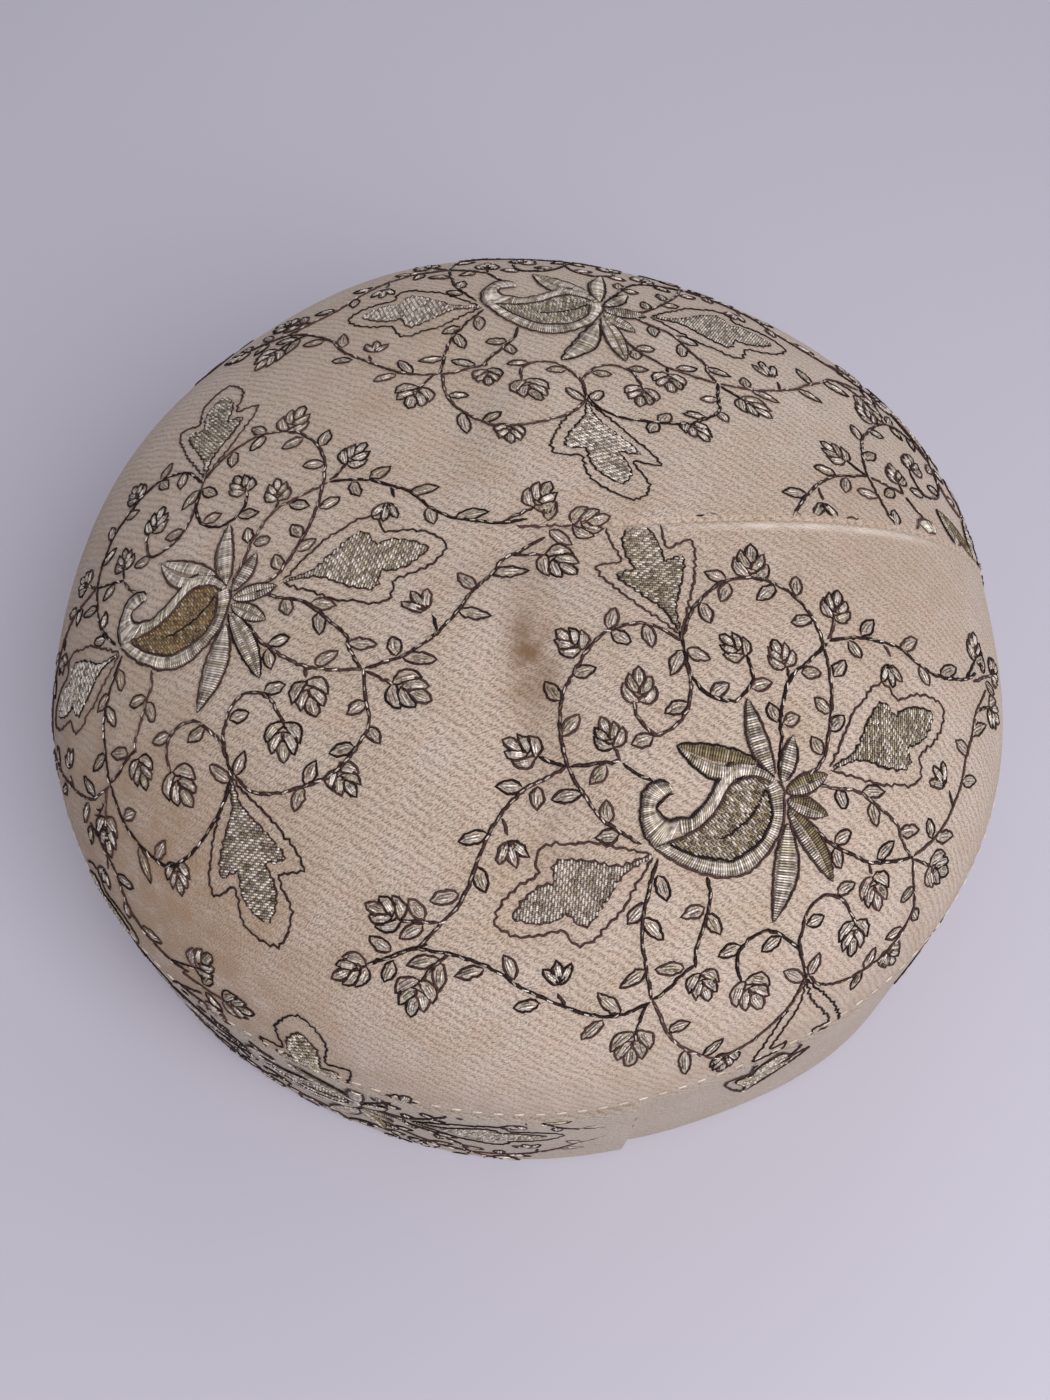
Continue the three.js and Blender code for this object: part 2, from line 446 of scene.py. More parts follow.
class NodeBoard:
    """Adds and links the nodes of one material or node group."""

    def __init__(self, tree: bpy.types.NodeTree) -> None:
        """Starts on an empty tree."""
        self.tree = tree
        tree.nodes.clear()

    def add(self, kind: str, **settings: object) -> bpy.types.Node:
        """Adds a node of that kind with its settings."""
        node = self.tree.nodes.new(kind)
        for name, value in settings.items():
            setattr(node, name, value)
        return node

    def feed(self, socket: bpy.types.NodeSocket, value: object) -> None:
        """Links a socket to another one, or sets it to a fixed value."""
        if isinstance(value, bpy.types.NodeSocket):
            self.tree.links.new(value, socket)
        else:
            socket.default_value = value

    def math(self, operation: str, *values: object) -> bpy.types.NodeSocket:
        """A sum on one, two or three values."""
        node = self.add("ShaderNodeMath", operation=operation)
        for socket, value in zip(node.inputs, values):
            self.feed(socket, value)
        return node.outputs[0]

    def blend(self, share: object, first: object, second: object, mode: str = "MIX") -> bpy.types.NodeSocket:
        """A colour between two, by a share from 0 to 1."""
        node = self.add("ShaderNodeMix", data_type="RGBA", blend_type=mode)
        for socket, value in zip((node.inputs[0], node.inputs[6], node.inputs[7]), (share, first, second)):
            self.feed(socket, (*value, 1.0) if isinstance(value, tuple) else value)
        return node.outputs[2]

    def noise(self, place: object, flecks: Flecks) -> bpy.types.NodeSocket:
        """Soft noise about 0.5 at a place."""
        node = self.add("ShaderNodeTexNoise")
        self.feed(node.inputs["Vector"], place)
        node.inputs["Scale"].default_value = flecks.scale
        node.inputs["Detail"].default_value = flecks.detail
        return node.outputs[0]

    def remap(self, value: object, given: Span, made: Span = (0.0, 1.0)) -> bpy.types.NodeSocket:
        """Takes one range of values to another."""
        node = self.add("ShaderNodeMapRange")
        for socket, setting in zip(node.inputs, (value, *given, *made)):
            self.feed(socket, setting)
        return node.outputs[0]

    def turned(self, place: object, heading: float) -> tuple[bpy.types.NodeSocket, bpy.types.NodeSocket]:
        """A flat place's length along a heading in degrees, and across it."""
        turn = self.add("ShaderNodeVectorRotate", rotation_type="Z_AXIS")
        self.feed(turn.inputs["Vector"], place)
        turn.inputs["Angle"].default_value = -math.radians(heading)
        parts = self.add("ShaderNodeSeparateXYZ")
        self.feed(parts.inputs[0], turn.outputs[0])
        return parts.outputs[0], parts.outputs[1]

    def attribute(self, name: str) -> bpy.types.NodeSocket:
        """A value that the mesh keeps under that name."""
        return self.add("ShaderNodeAttribute", attribute_name=name).outputs["Fac"]

    def bump(self, height: bpy.types.NodeSocket, depth: float) -> bpy.types.NodeSocket:
        """Raises the surface by a height from 0 to 1, at a full depth in millimetres."""
        node = self.add("ShaderNodeBump")
        node.inputs["Distance"].default_value = depth * MM
        self.feed(node.inputs["Height"], height)
        return node.outputs[0]

    def surface(
        self, colour: object, normal: bpy.types.NodeSocket | None, settings: dict[str, float]
    ) -> None:
        """Ends a material with its shader.

        Args:
            colour: The base colour, fixed or from a node.
            normal: The raised surface, or None where it is even.
            settings: The shader's other inputs.
        """
        shader = self.add("ShaderNodeBsdfPrincipled")
        self.feed(shader.inputs["Base Color"], (*colour, 1.0) if isinstance(colour, tuple) else colour)
        if normal is not None:
            self.feed(shader.inputs["Normal"], normal)
        for name, value in settings.items():
            shader.inputs[name].default_value = value
        output = self.add("ShaderNodeOutputMaterial")
        self.feed(output.inputs["Surface"], shader.outputs[0])


def group_board(name: str, inputs: Sequence[str], outputs: Sequence[str]) -> NodeBoard:
    """Starts a node group.

    Args:
        name: The group's name.
        inputs: Its input values. One named Place is a vector.
        outputs: Its output values.

    Returns:
        The board, with the group's own input and output nodes on it.
    """
    tree = bpy.data.node_groups.new(name, "ShaderNodeTree")
    for socket in inputs:
        kind = "NodeSocketVector" if socket == "Place" else "NodeSocketFloat"
        tree.interface.new_socket(socket, in_out="INPUT", socket_type=kind)
    for socket in outputs:
        tree.interface.new_socket(socket, in_out="OUTPUT", socket_type="NodeSocketFloat")
    board = NodeBoard(tree)
    board.add("NodeGroupInput", name="Given")
    board.add("NodeGroupOutput", name="Made")
    return board


@dataclass(frozen=True)
class TwillWeave:
    """The ribs and yarns of the twill, as a node group that both cloths share. Sizes in millimetres."""

    name: str = "twill_weave"
    rib_heading: float = -31.0
    rib: float = 1.4
    rib_range: Span = (-0.9, 0.7)
    rib_share: float = 0.32
    wander: float = 2.0
    sway: Flecks = Flecks(0.35, 3.0)
    yarn_heading: float = 24.0
    yarn_length: float = 0.62
    yarn_width: float = 0.26
    yarn: Flecks = Flecks(1.0)
    yarn_range: Span = (0.35, 0.62)
    grain: Flecks = Flecks(3.6)
    grain_range: Span = (0.3, 0.66)
    grain_share: float = 0.32
    mottle: Flecks = Flecks(0.09, 5.0)
    blush: Flecks = Flecks(0.16, 4.0)

    def group(self) -> bpy.types.NodeTree:
        """Makes the node group, or finds it: height, tone, mottle and blush of a place on the flat cloth."""
        found = bpy.data.node_groups.get(self.name)
        if found is not None:
            return found
        board = group_board(self.name, ["Place"], ["Height", "Tone", "Mottle", "Blush"])
        place = board.tree.nodes["Given"].outputs["Place"]
        across = board.turned(place, self.rib_heading)[1]
        sway = board.math("SUBTRACT", board.noise(place, self.sway), 0.5)
        ribs = board.math("MULTIPLY_ADD", sway, self.wander, across)
        wave = board.math("SINE", board.math("MULTIPLY", ribs, 2 * math.pi / self.rib))
        rib = board.remap(wave, self.rib_range)
        along, beside = board.turned(place, self.yarn_heading)
        long_place = board.add("ShaderNodeCombineXYZ")
        board.feed(long_place.inputs[0], board.math("DIVIDE", along, self.yarn_length))
        board.feed(long_place.inputs[1], board.math("DIVIDE", beside, self.yarn_width))
        yarn = board.remap(board.noise(long_place.outputs[0], self.yarn), self.yarn_range)
        grain = board.remap(board.noise(place, self.grain), self.grain_range)
        yarn_part = board.math("MULTIPLY", yarn, 1 - self.rib_share)
        height = board.math("MULTIPLY_ADD", rib, self.rib_share, yarn_part)
        tone = board.math("MULTIPLY", height, 1 - self.grain_share)
        made = board.tree.nodes["Made"].inputs
        board.feed(made["Height"], height)
        board.feed(made["Tone"], board.math("MULTIPLY_ADD", grain, self.grain_share, tone))
        board.feed(made["Mottle"], board.noise(place, self.mottle))
        board.feed(made["Blush"], board.noise(place, self.blush))
        return board.tree


@dataclass(frozen=True)
class ClothFinish:
    """Aged cream twill with ribs, mottles, stains, soil and painted shade, and a worn dart ridge with a
    painted highlight.
    """

    name: str
    cream: Colour
    shade: Colour
    aged: Colour
    blush: Colour = (1.0, 0.945, 0.915)
    # Brown and tan colour the stains and soil, and also paint shade where the cap is lit less.
    brown: Colour = (0.20, 0.115, 0.065)
    tan: Colour = (0.36, 0.235, 0.15)
    # Pale colour of the worn dart ridge, which is also a painted highlight.
    worn_and_highlight: Colour = (0.68, 0.58, 0.50)
    tone_range: Span = (0.2, 0.68)
    mottle_range: Span = (0.35, 0.7)
    blush_range: Span = (0.45, 0.7)
    ragged: Flecks = Flecks(0.22, 4.0)  # breaks up the edges of stains, soil, painted shade, wear and the painted highlight
    ragged_range: Span = (0.3, 0.65)
    ragged_strength: Span = (0.35, 1.15)
    rib_depth: float = 0.16
    roughness: float = 0.88
    specular: float = 0.25
    sheen: float = 0.25
    sheen_roughness: float = 0.5

    def material(self) -> bpy.types.Material:
        """Makes the material."""
        made = bpy.data.materials.new(self.name)
        made.use_nodes = True
        board = NodeBoard(made.node_tree)
        cloth = board.add("ShaderNodeUVMap", uv_map=CLOTH_MAP)
        place = board.add("ShaderNodeVectorMath", operation="SCALE")
        board.feed(place.inputs[0], cloth.outputs[0])
        place.inputs["Scale"].default_value = CLOTH_MAP_SPAN
        weave = board.add("ShaderNodeGroup", node_tree=TwillWeave().group())
        board.feed(weave.inputs["Place"], place.outputs[0])
        board.surface(
            self.stained_and_shaded(board, place.outputs[0], self.woven(board, weave)),
            board.bump(weave.outputs["Height"], self.rib_depth),
            {
                "Roughness": self.roughness,
                "Specular IOR Level": self.specular,
                "Sheen Weight": self.sheen,
                "Sheen Roughness": self.sheen_roughness,
            },
        )
        return made

    def woven(self, board: NodeBoard, weave: bpy.types.Node) -> bpy.types.NodeSocket:
        """The clean cloth's colour, from its weave."""
        colour = board.blend(board.remap(weave.outputs["Tone"], self.tone_range), self.shade, self.cream)
        mottle = board.remap(weave.outputs["Mottle"], self.mottle_range)
        colour = board.blend(mottle, colour, self.aged, "MULTIPLY")
        blush = board.remap(weave.outputs["Blush"], self.blush_range)
        return board.blend(blush, colour, self.blush, "MULTIPLY")

    def stained_and_shaded(
        self, board: NodeBoard, place: bpy.types.NodeSocket, colour: bpy.types.NodeSocket
    ) -> bpy.types.NodeSocket:
        """Adds the stains, soil and painted shade, and the worn dart ridge with its painted highlight, to
        the cloth's colour.

        Args:
            board: The material's nodes.
            place: The place on the flat cloth.
            colour: The clean cloth's colour.

        Returns:
            The colour with all of them.
        """
        ragged = board.remap(board.noise(place, self.ragged), self.ragged_range, self.ragged_strength)
        for soil_and_shade, tint in ((SoilAndShade.TAN, self.tan), (SoilAndShade.BROWN, self.brown)):
            share = board.math("MULTIPLY", board.attribute(soil_and_shade.value), ragged)
            colour = board.blend(board.math("MINIMUM", share, 1.0), colour, tint)
        return board.blend(board.math("MULTIPLY", board.attribute(WEAR_AND_HIGHLIGHT), ragged), colour, self.worn_and_highlight)


@dataclass(frozen=True)
class ThreadTwist:
    """The lay of a twisted thread, as a node group that every thread shares. Sizes in millimetres."""

    name: str = "thread_twist"
    lay: float = 0.8
    wave_gleam: float = 0.35
    glint: Flecks = Flecks(1100.0)  # to a metre
    glint_range: Span = (0.3, 0.7)
    glint_gleam: Span = (0.0, 0.65)

    def group(self) -> bpy.types.NodeTree:
        """Makes the node group, or finds it: from a length along the thread, its height and its gleam."""
        found = bpy.data.node_groups.get(self.name)
        if found is not None:
            return found
        board = group_board(self.name, ["Along", "Place"], ["Height", "Gleam"])
        given = board.tree.nodes["Given"].outputs
        turns = board.math("MULTIPLY", given["Along"], 2 * math.pi / self.lay)
        wave = board.remap(board.math("SINE", turns), (-1.0, 1.0))
        glint = board.remap(board.noise(given["Place"], self.glint), self.glint_range, self.glint_gleam)
        made = board.tree.nodes["Made"].inputs
        board.feed(made["Height"], wave)
        board.feed(made["Gleam"], board.math("MULTIPLY_ADD", wave, self.wave_gleam, glint))
        return board.tree


@dataclass(frozen=True)
class ThreadFinish:
    """One thread of the stitching."""

    name: str
    bright: Colour
    dark: Colour
    metallic: float
    roughness: float
    specular: float = 0.3
    depth: float = 0.05
    tint_share: float = 0.65
    gleam_share: float = 0.5
    tone_range: Span = (0.36, 0.96)

    def material(self) -> bpy.types.Material:
        """Makes the material, or finds it."""
        found = bpy.data.materials.get(self.name)
        if found is not None:
            return found
        made = bpy.data.materials.new(self.name)
        made.use_nodes = True
        board = NodeBoard(made.node_tree)
        place = board.add("ShaderNodeTexCoord").outputs["Object"]
        twist = board.add("ShaderNodeGroup", node_tree=ThreadTwist().group())
        board.feed(twist.inputs["Along"], board.attribute(ALONG))
        board.feed(twist.inputs["Place"], place)
        gleam = board.math("MULTIPLY", twist.outputs["Gleam"], self.gleam_share)
        tone = board.math("MULTIPLY_ADD", board.attribute(TINT), self.tint_share, gleam)
        board.surface(
            board.blend(board.remap(tone, self.tone_range), self.dark, self.bright),
            board.bump(twist.outputs["Height"], self.depth),
            {
                "Metallic": self.metallic,
                "Specular IOR Level": self.specular,
                "Roughness": self.roughness,
            },
        )
        return made


CROWN_FINISH = ClothFinish("crown_twill", (0.605, 0.495, 0.425), (0.255, 0.195, 0.163), (0.91, 0.89, 0.82))
# The band's twill is the crown's darkened by about a quarter throughout: painted shade on the band.
BAND_FINISH = ClothFinish("band_twill", (0.45, 0.365, 0.305), (0.205, 0.16, 0.132), (0.90, 0.88, 0.82))


class Thread(Enum):
    """Threads of the stitching, each with its finish."""

    UMBER = ThreadFinish("umber_thread", (0.088, 0.044, 0.041), (0.014, 0.006, 0.006), 0.0, 0.65, 0.15)
    SILVER = ThreadFinish("silver_thread", (0.87, 0.785, 0.715), (0.19, 0.15, 0.125), 0.3, 0.34)
    PEWTER = ThreadFinish("pewter_thread", (0.60, 0.53, 0.40), (0.14, 0.11, 0.07), 0.35, 0.38)
    OLIVE = ThreadFinish("olive_thread", (0.36, 0.29, 0.165), (0.085, 0.063, 0.032), 0.25, 0.45)
    GOLD = ThreadFinish("gold_thread", (0.44, 0.29, 0.14), (0.10, 0.06, 0.028), 0.25, 0.45)
    CREAM = ThreadFinish("cream_thread", (0.74, 0.65, 0.57), (0.58, 0.49, 0.42), 0.0, 0.75)


Mix = tuple[tuple[Thread, float], ...]  # threads, and how often each of them comes
SmallPetals = tuple[tuple[Point, Point, float, float], ...]  # base, tip, width and bow of each


# Cloth pieces


@dataclass
class CrownCloth:
    """The one-piece crown: a dome of twill with its dart sewn in and its edge rolled into the seam."""

    shape: CapShape
    name: str = "crown_twill"
    segments: int = 360
    rings: int = 96
    thickness: float = 2.0
    dart_margin: float = 4.0
    dart_cuts: int = 2
    roll: float = 0.9
    roll_reach: float = 3.0
    # Tan and brown along the crown's edge, up to the reach: grime along the seam, and painted shade where
    # the edge curves away from the light.
    edge_brown_soil_and_shade: float = 0.25
    edge_tan_soil_and_shade: float = 0.35
    edge_soil_and_shade_reach: float = 12.0

    def build(self) -> bpy.types.Object:
        """Models the cloth and gives it its flat map and its marks."""
        deselect()
        bpy.ops.mesh.primitive_uv_sphere_add(segments=self.segments, ring_count=2 * self.rings, radius=1.0)
        cloth = bpy.context.object
        cloth.name = cloth.data.name = self.name
        bpy.ops.object.mode_set(mode="EDIT")
        bpy.ops.mesh.select_all(action="SELECT")
        bpy.ops.mesh.bisect(plane_co=(0, 0, 0), plane_no=(0, 0, 1), clear_inner=True, clear_outer=False)
        bpy.ops.mesh.select_mode(type="FACE")
        bpy.ops.mesh.select_all(action="DESELECT")
        bpy.ops.object.mode_set(mode="OBJECT")
        self.select_dart(cloth)
        bpy.ops.object.mode_set(mode="EDIT")
        bpy.ops.mesh.subdivide(number_cuts=self.dart_cuts)
        bpy.ops.object.mode_set(mode="OBJECT")
        self.shape_dome(cloth)
        thicken(cloth, self.thickness)
        return cloth

    def dome_place(self, ball: Array) -> tuple[Array, Array]:
        """Azimuth in radians and length of cloth over the seam, for places on the upper half of a ball."""
        ball = unit(ball)
        share = np.arcsin(np.clip(ball[:, 2], 0.0, 1.0)) / (math.pi / 2)
        return np.arctan2(ball[:, 1], ball[:, 0]), share * self.shape.cut_radius

    def select_dart(self, cloth: bpy.types.Object) -> None:
        """Selects the faces along the dart, which need a finer mesh for its fold."""
        mesh = cloth.data
        centres = np.array([face.center for face in mesh.polygons])
        gap, _ = self.shape.dart.offset(self.shape.dome(*self.dome_place(centres)))
        for part in (mesh.vertices, mesh.edges):
            part.foreach_set("select", np.zeros(len(part), dtype=bool))
        mesh.polygons.foreach_set("select", np.abs(gap) < self.dart_margin)

    def shape_dome(self, cloth: bpy.types.Object) -> None:
        """Moves the ball's vertices onto the draped dome, and keeps their flat places, marks and painted
        light.
        """
        mesh = cloth.data
        azimuth, arc = self.dome_place(np.array([v.co for v in mesh.vertices]))
        smooth = self.shape.dome(azimuth, arc)
        normals = unit(self.shape.gradient(smooth)[1])
        places = self.shape.drape(smooth, normals)
        places -= rolled_in(arc, self.roll, self.roll_reach)[:, None] * normals
        mesh.vertices.foreach_set("co", (places * MM).ravel())
        flat = (self.shape.cut_radius - arc)[:, None] * np.stack([np.cos(azimuth), np.sin(azimuth)], axis=1)
        set_cloth_map(mesh, flat)
        # The edge's tan and brown are grime and painted shade; the patches add stains, soil and painted
        # shade.
        edge = np.exp(-((arc / self.edge_soil_and_shade_reach) ** 2))
        for soil_and_shade, handled in ((SoilAndShade.BROWN, self.edge_brown_soil_and_shade), (SoilAndShade.TAN, self.edge_tan_soil_and_shade)):
            marks = [s.strength * s.share(smooth[:, 0], smooth[:, 1]) for s in STAINS_AND_SHADE if s.soil_and_shade is soil_and_shade]
            set_attribute(mesh, soil_and_shade.value, np.sum(marks, axis=0) + handled * edge)
        # Wear on the dart's ridge, which is also a painted highlight.
        set_attribute(mesh, WEAR_AND_HIGHLIGHT, self.shape.dart.wear_and_highlight(smooth))
        mesh.update()

    def dress(self, cloth: bpy.types.Object, finish: ClothFinish) -> None:
        """Gives the cloth its finish and its place in the frame."""
        cloth.data.materials.append(finish.material())
        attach(cloth, BODY)
        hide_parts("crown")

    def declare(
        self, cloth: bpy.types.Object, band: bpy.types.Object, sewn_on: Sequence[bpy.types.Object]
    ) -> None:
        """Works out the width of the cloth's flat cut, a disc from the top of the crown to the seam, and
        does nothing with it.

        Args:
            cloth: The crown's cloth. Not used.
            band: The band's cloth, which carries it. Not used.
            sewn_on: The stitching on it. Not used.
        """
        across = 2 * self.shape.cut_radius * MM


def thicken(cloth: bpy.types.Object, thickness: float, group: str = "") -> None:
    """Gives a cloth its thickness, inwards from its outer face.

    Args:
        cloth: The active object.
        thickness: Millimetres.
        group: The vertex group with each vertex's share of the thickness, if it isn't even.
    """
    solid = cloth.modifiers.new("thickness", "SOLIDIFY")
    solid.thickness = thickness * MM
    solid.offset = -1.0
    solid.vertex_group = group
    bpy.ops.object.modifier_apply(modifier=solid.name)
    bpy.ops.object.shade_smooth()


def rolled_in(length: Array, depth: float, reach: float) -> Array:
    """How far a cloth's edge rolls in at lengths from it, from its full depth to nothing at its reach."""
    return depth * np.clip(1 - length / reach, 0.0, 1.0) ** 2


def set_cloth_map(mesh: bpy.types.Mesh, flat: Array) -> None:
    """Keeps each vertex's place on the flat cloth, in millimetres, as the cloth's UV map."""
    corners = np.zeros(len(mesh.loops), dtype=np.int32)
    mesh.loops.foreach_get("vertex_index", corners)
    for layer in list(mesh.uv_layers):
        mesh.uv_layers.remove(layer)
    layer = mesh.uv_layers.new(name=CLOTH_MAP)
    layer.data.foreach_set("uv", (flat[corners] / CLOTH_MAP_SPAN).astype(np.float32).ravel())


def set_attribute(mesh: bpy.types.Mesh, name: str, values: Array) -> None:
    """Keeps a value for each vertex under a name."""
    attribute = mesh.attributes.new(name, "FLOAT", "POINT")
    attribute.data.foreach_set("value", values.astype(np.float32))


@dataclass
class BandCloth:
    """The side band: a strip of twill sewn into a ring, its lower edge turned up inside as a hem."""

    shape: CapShape
    name: str = "band_twill"
    round_steps: int = 360
    wall_rows: int = 24
    fold_rows: int = 8
    hem_rows: int = 5
    thickness: float = 2.0
    hem_thickness: float = 1.0
    hem_height: float = 12.0
    fold_radius: float = 1.5
    seam_gap: float = 0.3
    joint_reach: float = 0.01  # vertices of the strip's two ends that are this close become one
    roll: float = 0.9
    roll_reach: float = 3.0
    lap_azimuth: float = 283.0
    lap_out: float = 0.7
    lap_in: float = 0.9
    lap_reach: float = 9.0

    @property
    def rows(self) -> list[tuple[float, float, float, float]]:
        """The strip's rows from its top edge to the hem's.

        Returns:
            For each row, its inset, its height, the length of cloth from the top edge, and the share of the
            thickness.
        """
        top = self.shape.seam_height - self.seam_gap
        fold = self.fold_radius
        hem = self.hem_thickness / self.thickness
        places = [(0.0, top + (fold - top) * i / self.wall_rows, 1.0) for i in range(self.wall_rows)]
        for i in range(self.fold_rows + 1):
            angle = math.pi * i / self.fold_rows
            thin = 1.0 + (hem - 1.0) * i / self.fold_rows
            places.append((fold - fold * math.cos(angle), fold - fold * math.sin(angle), thin))
        rise = self.hem_height - fold
        places += [(2 * fold, fold + rise * (i + 1) / self.hem_rows, hem) for i in range(self.hem_rows)]
        length = 0.0
        rows = []
        for i, (inset, height, thick) in enumerate(places):
            if i:
                length += math.hypot(inset - places[i - 1][0], height - places[i - 1][1])
            rows.append((inset, height, length, thick))
        return rows

    def build(self) -> bpy.types.Object:
        """Models the strip flat, rolls it into its ring and gives it its thickness."""
        rows = np.array(self.rows)
        deselect()
        steps = {"x_subdivisions": self.round_steps, "y_subdivisions": len(rows) - 1}
        bpy.ops.mesh.primitive_grid_add(size=2.0, **steps)
        cloth = bpy.context.object
        cloth.name = cloth.data.name = self.name
        mesh = cloth.data
        strip = np.array([v.co for v in mesh.vertices])
        turn = (strip[:, 0] + 1.0) / 2.0 * 2 * math.pi
        row = np.round((1.0 - strip[:, 1]) / 2.0 * (len(rows) - 1)).astype(int)
        inset, height, length, thick = rows[row].T
        places = self.shape.band(turn, height)
        outward = np.stack([np.cos(turn), np.sin(turn), np.zeros_like(turn)], axis=1)
        places -= (inset + self.relief(turn, length))[:, None] * outward
        mesh.vertices.foreach_set("co", (places * MM).ravel())
        set_cloth_map(mesh, np.stack([turn * self.shape.mean_radius, -length], axis=1))
        for name in (*(soil_and_shade.value for soil_and_shade in SoilAndShade), WEAR_AND_HIGHLIGHT):
            set_attribute(mesh, name, np.zeros(len(places)))
        group = cloth.vertex_groups.new(name="thickness")
        for share in np.unique(thick):
            group.add(np.flatnonzero(thick == share).tolist(), float(share), "REPLACE")
        bpy.ops.object.mode_set(mode="EDIT")
        bpy.ops.mesh.select_all(action="SELECT")
        bpy.ops.mesh.remove_doubles(threshold=self.joint_reach * MM)
        bpy.ops.mesh.normals_make_consistent(inside=False)
        bpy.ops.object.mode_set(mode="OBJECT")
        thicken(cloth, self.thickness, group.name)
        return cloth

    def relief(self, turn: Array, length: Array) -> Array:
        """How far the outer face sinks in: its top edge rolls into the seam, and one end laps the other."""
        rolled = rolled_in(length, self.roll, self.roll_reach)
        gap = (turn - math.radians(self.lap_azimuth)) * self.shape.mean_radius
        return rolled + np.where(gap < 0, -self.lap_out, self.lap_in) * np.exp(-np.abs(gap) / self.lap_reach)

    def dress(self, cloth: bpy.types.Object, finish: ClothFinish) -> None:
        """Gives the cloth its finish and its place in the frame."""
        cloth.data.materials.append(finish.material())
        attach(cloth, BODY)
        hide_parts("side_band")

    def declare(self, cloth: bpy.types.Object, sewn_on: Sequence[bpy.types.Object]) -> None:
        """Works out the length of the strip from its top edge round the hem, and does nothing with it."""
        self.rows[-1][2] * MM
        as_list(sewn_on)


# Stitching


@dataclass(frozen=True)
class Line:
    """A thread along a line of a flat design: its places, its height over the cloth and its radius."""

    places: Array
    lift: Array
    radius: float
    thread: Thread


@dataclass(frozen=True)
class Block:
    """Straight stitches: where they start and end, their arch, their radius, threads and dullest tint."""

    starts: Array
    ends: Array
    lift: float
    radius: float
    threads: Array
    dullest: float


@dataclass
class Stitchwork:
    """Threads of a flat design in its own millimetres, before they are laid on the cloth."""

    seed: int
    lines: list[Line] = field(default_factory=list)
    blocks: list[Block] = field(default_factory=list)
    chance: np.random.Generator = field(init=False)

    def __post_init__(self) -> None:
        """Starts the seeded chance that varies the threads."""
        self.chance = np.random.default_rng(self.seed)

    def add_line(self, places: Array, thread: Thread, radius: float, lift: float | Array) -> None:
        """Adds a thread along a line."""
        self.lines.append(Line(places, np.broadcast_to(lift, len(places)).astype(float), radius, thread))

    def add_block(
        self, starts: Array, ends: Array, lift: float, radius: float, mix: Mix, dullest: float = 0.0
    ) -> None:
        """Adds straight stitches.

        Args:
            starts: Where each starts.
            ends: Where each ends.
            lift: How high they arch over the cloth.
            radius: Their radius.
            mix: Threads that each stitch's own is drawn from by chance.
            dullest: The dullest tint that a stitch may have, against 1 for the brightest.
        """
        if not len(starts):
            return
        threads, shares = zip(*mix)
        drawn = self.chance.choice(len(threads), size=len(starts), p=np.array(shares) / np.sum(shares))
        kinds = np.array(threads, dtype=object)[drawn]
        self.blocks.append(Block(starts, ends, lift, radius, kinds, dullest))


@dataclass(frozen=True)
class ThreadGauge:
    """How threads are laid. Sizes in millimetres."""

    step: float = 0.7
    lift: float = 0.14
    outline_radius: float = 0.2
    outline_waver: float = 0.085
    vine_radius: float = 0.3
    vine_waver: float = 0.08
    glint_radius: float = 0.13
    glint_length: float = 1.3
    glint_lift: float = 0.34
    glint_waver: float = 0.12
    glint_steps: tuple[int, int] = (2, 6)  # steps from glint to glint: at least the first, under the second
    satin_pitch: float = 0.42
    satin_radius: float = 0.19
    satin_lift: float = 0.40
    satin_dullest: float = 0.3
    petal_edge_lift: float = 0.15
    paisley_edge_lift: float = 0.18
    leaf_wave: float = 0.19
    leaf_wave_length: float = 1.7
    fill_pitch: float = 0.45
    fill_radius: float = 0.22
    fill_lift: float = 0.20
    fill_length: float = 1.2
    fill_shortest: float = 0.5
    fill_shift: float = 0.38  # how far each row's stitches are set off, as a share of their length
    fill_jitter: float = 0.15
    fill_margin: float = 0.2
    fill_dullest: float = 0.2
    sparkle_share: float = 0.2
    sparkle_length: float = 0.8
    sparkle_radius: float = 0.17
    sparkle_lift: float = 0.32
    sparkle_dullest: float = 0.9
    strand_radius: float = 0.2
    strand_dullest: float = 0.4
    strand_start: Span = (0.12, 0.3)  # shares of a small petal's length
    strand_end: Span = (0.72, 0.9)
    strand_spread: float = 0.75


def smooth_line(points: Sequence[Point], step: float, span_steps: int = 12) -> Array:
    """Draws a smooth line through points.

    Args:
        points: The places that it goes through.
        step: The length between the places that come back.
        span_steps: How many steps the line is worked out at from one point to the next.

    Returns:
        Even places along the line, one row each.
    """
    knots = np.array(points, dtype=float)
    ring = np.concatenate([2 * knots[:1] - knots[1:2], knots, 2 * knots[-1:] - knots[-2:-1]])
    t = np.linspace(0.0, 1.0, span_steps, endpoint=False)[:, None]
    spans = []
    for a, b, c, d in zip(ring, ring[1:], ring[2:], ring[3:]):
        bend = (2 * a - 5 * b + 4 * c - d) * t**2 + (3 * b - a - 3 * c + d) * t**3
        spans.append(0.5 * (2 * b + (c - a) * t + bend))
    return even_line(np.concatenate([*spans, ring[-2:-1]]), step)


def even_line(places: Array, step: float) -> Array:
    """Places at even lengths along a line of straight spans."""
    length = np.concatenate([[0.0], np.cumsum(np.linalg.norm(np.diff(places, axis=0), axis=1))])
    count = max(2, round(length[-1] / step) + 1)
    along = np.linspace(0.0, length[-1], count)
    return np.stack([np.interp(along, length, places[:, k]) for k in (0, 1)], axis=1)


def across_of(places: Array) -> Array:
    """The direction to the left of a line, at each of its places."""
    ahead = unit(np.gradient(places, axis=0))
    return np.stack([-ahead[:, 1], ahead[:, 0]], axis=1)


def axes(heading: float) -> tuple[Array, Array]:
    """The directions along a heading in degrees and to the left of it."""
    turn = math.radians(heading)
    return np.array([math.cos(turn), math.sin(turn)]), np.array([-math.sin(turn), math.cos(turn)])


def placed(base: Point, heading: float, local: Array) -> Array:
    """Turns places along and across a heading into places of the design."""
    ahead, left = axes(heading)
    return np.array(base) + local[:, :1] * ahead + local[:, 1:] * left


@dataclass(frozen=True)
class Sprig:
    """A small thing on a stem, such as a bud: where it grows, which way, how long it is."""

    base: Point
    heading: float
    length: float


